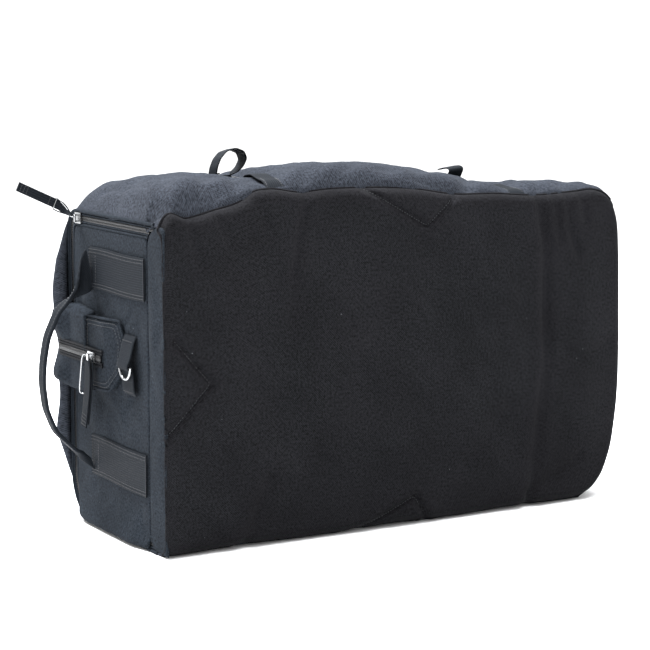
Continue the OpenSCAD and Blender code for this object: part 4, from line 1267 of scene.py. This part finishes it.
def build_stage():
    """White floor, softboxes and the camera."""
    colours = bpy.context.scene.flight_bag_colours
    scene = bpy.context.scene
    side = 6.0
    n = 9
    spread = np.linspace(-side, side, n)
    grid = np.stack(np.meshgrid(spread, spread), -1).reshape(-1, 2)
    mesh = bpy.data.meshes.new("Studio floor")
    mesh.from_pydata([(x, y, 0.0) for x, y in grid.tolist()], [],
                     [tuple(int(i) for i in f) for f in grid_faces(n, n)])
    made, tree, shader = start_material("Matt white paint")
    # Rolled paint on board: an even matt white with the faintest mottling
    place = add_node(tree, "ShaderNodeTexCoord").outputs["Object"]
    mottle = add_node(tree, "ShaderNodeTexNoise", [("Vector", place), ("Scale", 4.0)]).outputs["Fac"]
    dress(tree, shader, colours.floor, (mottle, 0.99, 1.01))
    shader.inputs["Roughness"].default_value = 0.9
    shader.inputs["Specular IOR Level"].default_value = 0.1
    mesh.materials.append(made)
    floor = bpy.data.objects.new("Studio floor", mesh)
    scene.collection.objects.link(floor)
    world = bpy.data.worlds.new("White studio")
    world.use_nodes = True
    background = world.node_tree.nodes["Background"]
    background.inputs["Color"].default_value = (1.0, 1.0, 1.0, 1.0)
    background.inputs["Strength"].default_value = 1.25
    scene.world = world
    softboxes = (("Overhead softbox", (-0.9, 1.3, 3.0), 1.4, 400.0),
                 ("Rear softbox", (0.7, -0.8, 2.8), 1.0, 70.0), ("Left softbox", (-3.0, -1.2, 1.0), 1.5, 1.5))
    for name, place, size, power in softboxes:
        lamp = bpy.data.lights.new(name, "AREA")
        lamp.shape = "SQUARE"
        lamp.size = size
        lamp.energy = power
        lamp.color = (0.95, 0.97, 1.0)
        holder = bpy.data.objects.new(name, lamp)
        scene.collection.objects.link(holder)
        holder.location = place
        aim = np.array([0.0, 0.0, 0.2]) - np.array(place)
        turn = math.atan2(aim[1], aim[0])
        holder.rotation_euler = (math.pi / 2 + math.atan2(aim[2], math.hypot(aim[0], aim[1])), 0,
                                 turn - math.pi / 2)
    azimuth, elevation, distance = math.radians(-30.455), math.radians(8.306), 2.4169
    level = math.cos(elevation)
    away = np.array([math.sin(azimuth) * level, -math.cos(azimuth) * level, math.sin(elevation)])
    right = np.array([math.cos(azimuth), math.sin(azimuth), 0.0])
    up = np.cross(away, right)
    target = -0.02945 * right + 0.21495 * up
    camera = bpy.data.cameras.new("Studio camera")
    camera.lens = 112.07     # millimetres
    camera.sensor_width = 36.0
    holder = bpy.data.objects.new("Studio camera", camera)
    scene.collection.objects.link(holder)
    holder.location = target + away * distance
    holder.rotation_euler = (math.pi / 2 - elevation, 0, azimuth)
    scene.camera = holder
    scene.view_settings.view_transform = "Standard"


# ---------------------------------------------------------------- operators

class FLIGHTBAG_OT_back_panel(bpy.types.Operator):
    """Build the padded back panel with its foam and stiffener"""
    bl_idname = "flight_bag.back_panel"
    bl_label = "Back panel"

    def execute(self, context):
        build_back_panel()
        return {"FINISHED"}


class FLIGHTBAG_OT_shell(bpy.types.Operator):
    """Build the top, front, bottom and right end panels"""
    bl_idname = "flight_bag.shell"
    bl_label = "Shell panels"

    def execute(self, context):
        build_shell()
        return {"FINISHED"}


class FLIGHTBAG_OT_end_flap(bpy.types.Operator):
    """Build the left end with its opening flap and linings"""
    bl_idname = "flight_bag.end_flap"
    bl_label = "End flap and linings"

    def execute(self, context):
        build_end_flap()
        return {"FINISHED"}


class FLIGHTBAG_OT_zips(bpy.types.Operator):
    """Build the end zip and the front zip"""
    bl_idname = "flight_bag.zips"
    bl_label = "Zips"

    def execute(self, context):
        build_end_zip()
        build_front_zip()
        return {"FINISHED"}


class FLIGHTBAG_OT_handle(bpy.types.Operator):
    """Build the webbing bands and the bow handle"""
    bl_idname = "flight_bag.handle"
    bl_label = "End handle"

    def execute(self, context):
        build_handle()
        return {"FINISHED"}


class FLIGHTBAG_OT_patches(bpy.types.Operator):
    """Build the zip patches and the D-ring webbing"""
    bl_idname = "flight_bag.patches"
    bl_label = "Patches and rings"

    def execute(self, context):
        build_patches()
        build_rings()
        return {"FINISHED"}


class FLIGHTBAG_OT_pull_tabs(bpy.types.Operator):
    """Build the webbing tabs on the zip pulls"""
    bl_idname = "flight_bag.pull_tabs"
    bl_label = "Pull tabs"

    def execute(self, context):
        build_pull_tabs()
        return {"FINISHED"}


class FLIGHTBAG_OT_straps(bpy.types.Operator):
    """Build the top straps, their loops and loose ends"""
    bl_idname = "flight_bag.straps"
    bl_label = "Top straps"

    def execute(self, context):
        build_straps()
        return {"FINISHED"}


class FLIGHTBAG_OT_hardware(bpy.types.Operator):
    """Finish the metal and plastic hardware"""
    bl_idname = "flight_bag.hardware"
    bl_label = "Hardware finish"

    def execute(self, context):
        finish_hardware()
        return {"FINISHED"}


class FLIGHTBAG_OT_stage(bpy.types.Operator):
    """Set up the floor, lights and camera"""
    bl_idname = "flight_bag.stage"
    bl_label = "Studio"

    def execute(self, context):
        build_stage()
        return {"FINISHED"}


STEPS = ("back_panel", "shell", "end_flap", "zips", "handle", "patches", "pull_tabs", "straps", "hardware",
         "stage")


class FLIGHTBAG_PT_panel(bpy.types.Panel):
    """Sizes, colours and build steps of the flight bag"""
    bl_idname = "FLIGHTBAG_PT_panel"
    bl_label = "Flight Bag"
    bl_space_type = "VIEW_3D"
    bl_region_type = "UI"
    bl_category = "Flight Bag"

    def draw(self, context):
        for group in (context.scene.flight_bag_sizes, context.scene.flight_bag_colours):
            box = self.layout.box()
            for key in group.__annotations__:
                box.prop(group, key)
        for step in STEPS:
            self.layout.operator(f"flight_bag.{step}")


CLASSES = (
    FlightBagSizes, FlightBagColours, FLIGHTBAG_OT_back_panel, FLIGHTBAG_OT_shell, FLIGHTBAG_OT_end_flap,
    FLIGHTBAG_OT_zips, FLIGHTBAG_OT_handle, FLIGHTBAG_OT_patches, FLIGHTBAG_OT_pull_tabs, FLIGHTBAG_OT_straps,
    FLIGHTBAG_OT_hardware, FLIGHTBAG_OT_stage, FLIGHTBAG_PT_panel,
)


def register():
    for cls in CLASSES:
        bpy.utils.register_class(cls)
    bpy.types.Scene.flight_bag_sizes = bpy.props.PointerProperty(type=FlightBagSizes)
    bpy.types.Scene.flight_bag_colours = bpy.props.PointerProperty(type=FlightBagColours)


def unregister():
    del bpy.types.Scene.flight_bag_colours
    del bpy.types.Scene.flight_bag_sizes
    for cls in reversed(CLASSES):
        bpy.utils.unregister_class(cls)


def main():
    register()
    for step in STEPS:
        getattr(bpy.ops.flight_bag, step)()


if __name__ == "__main__":
    main()
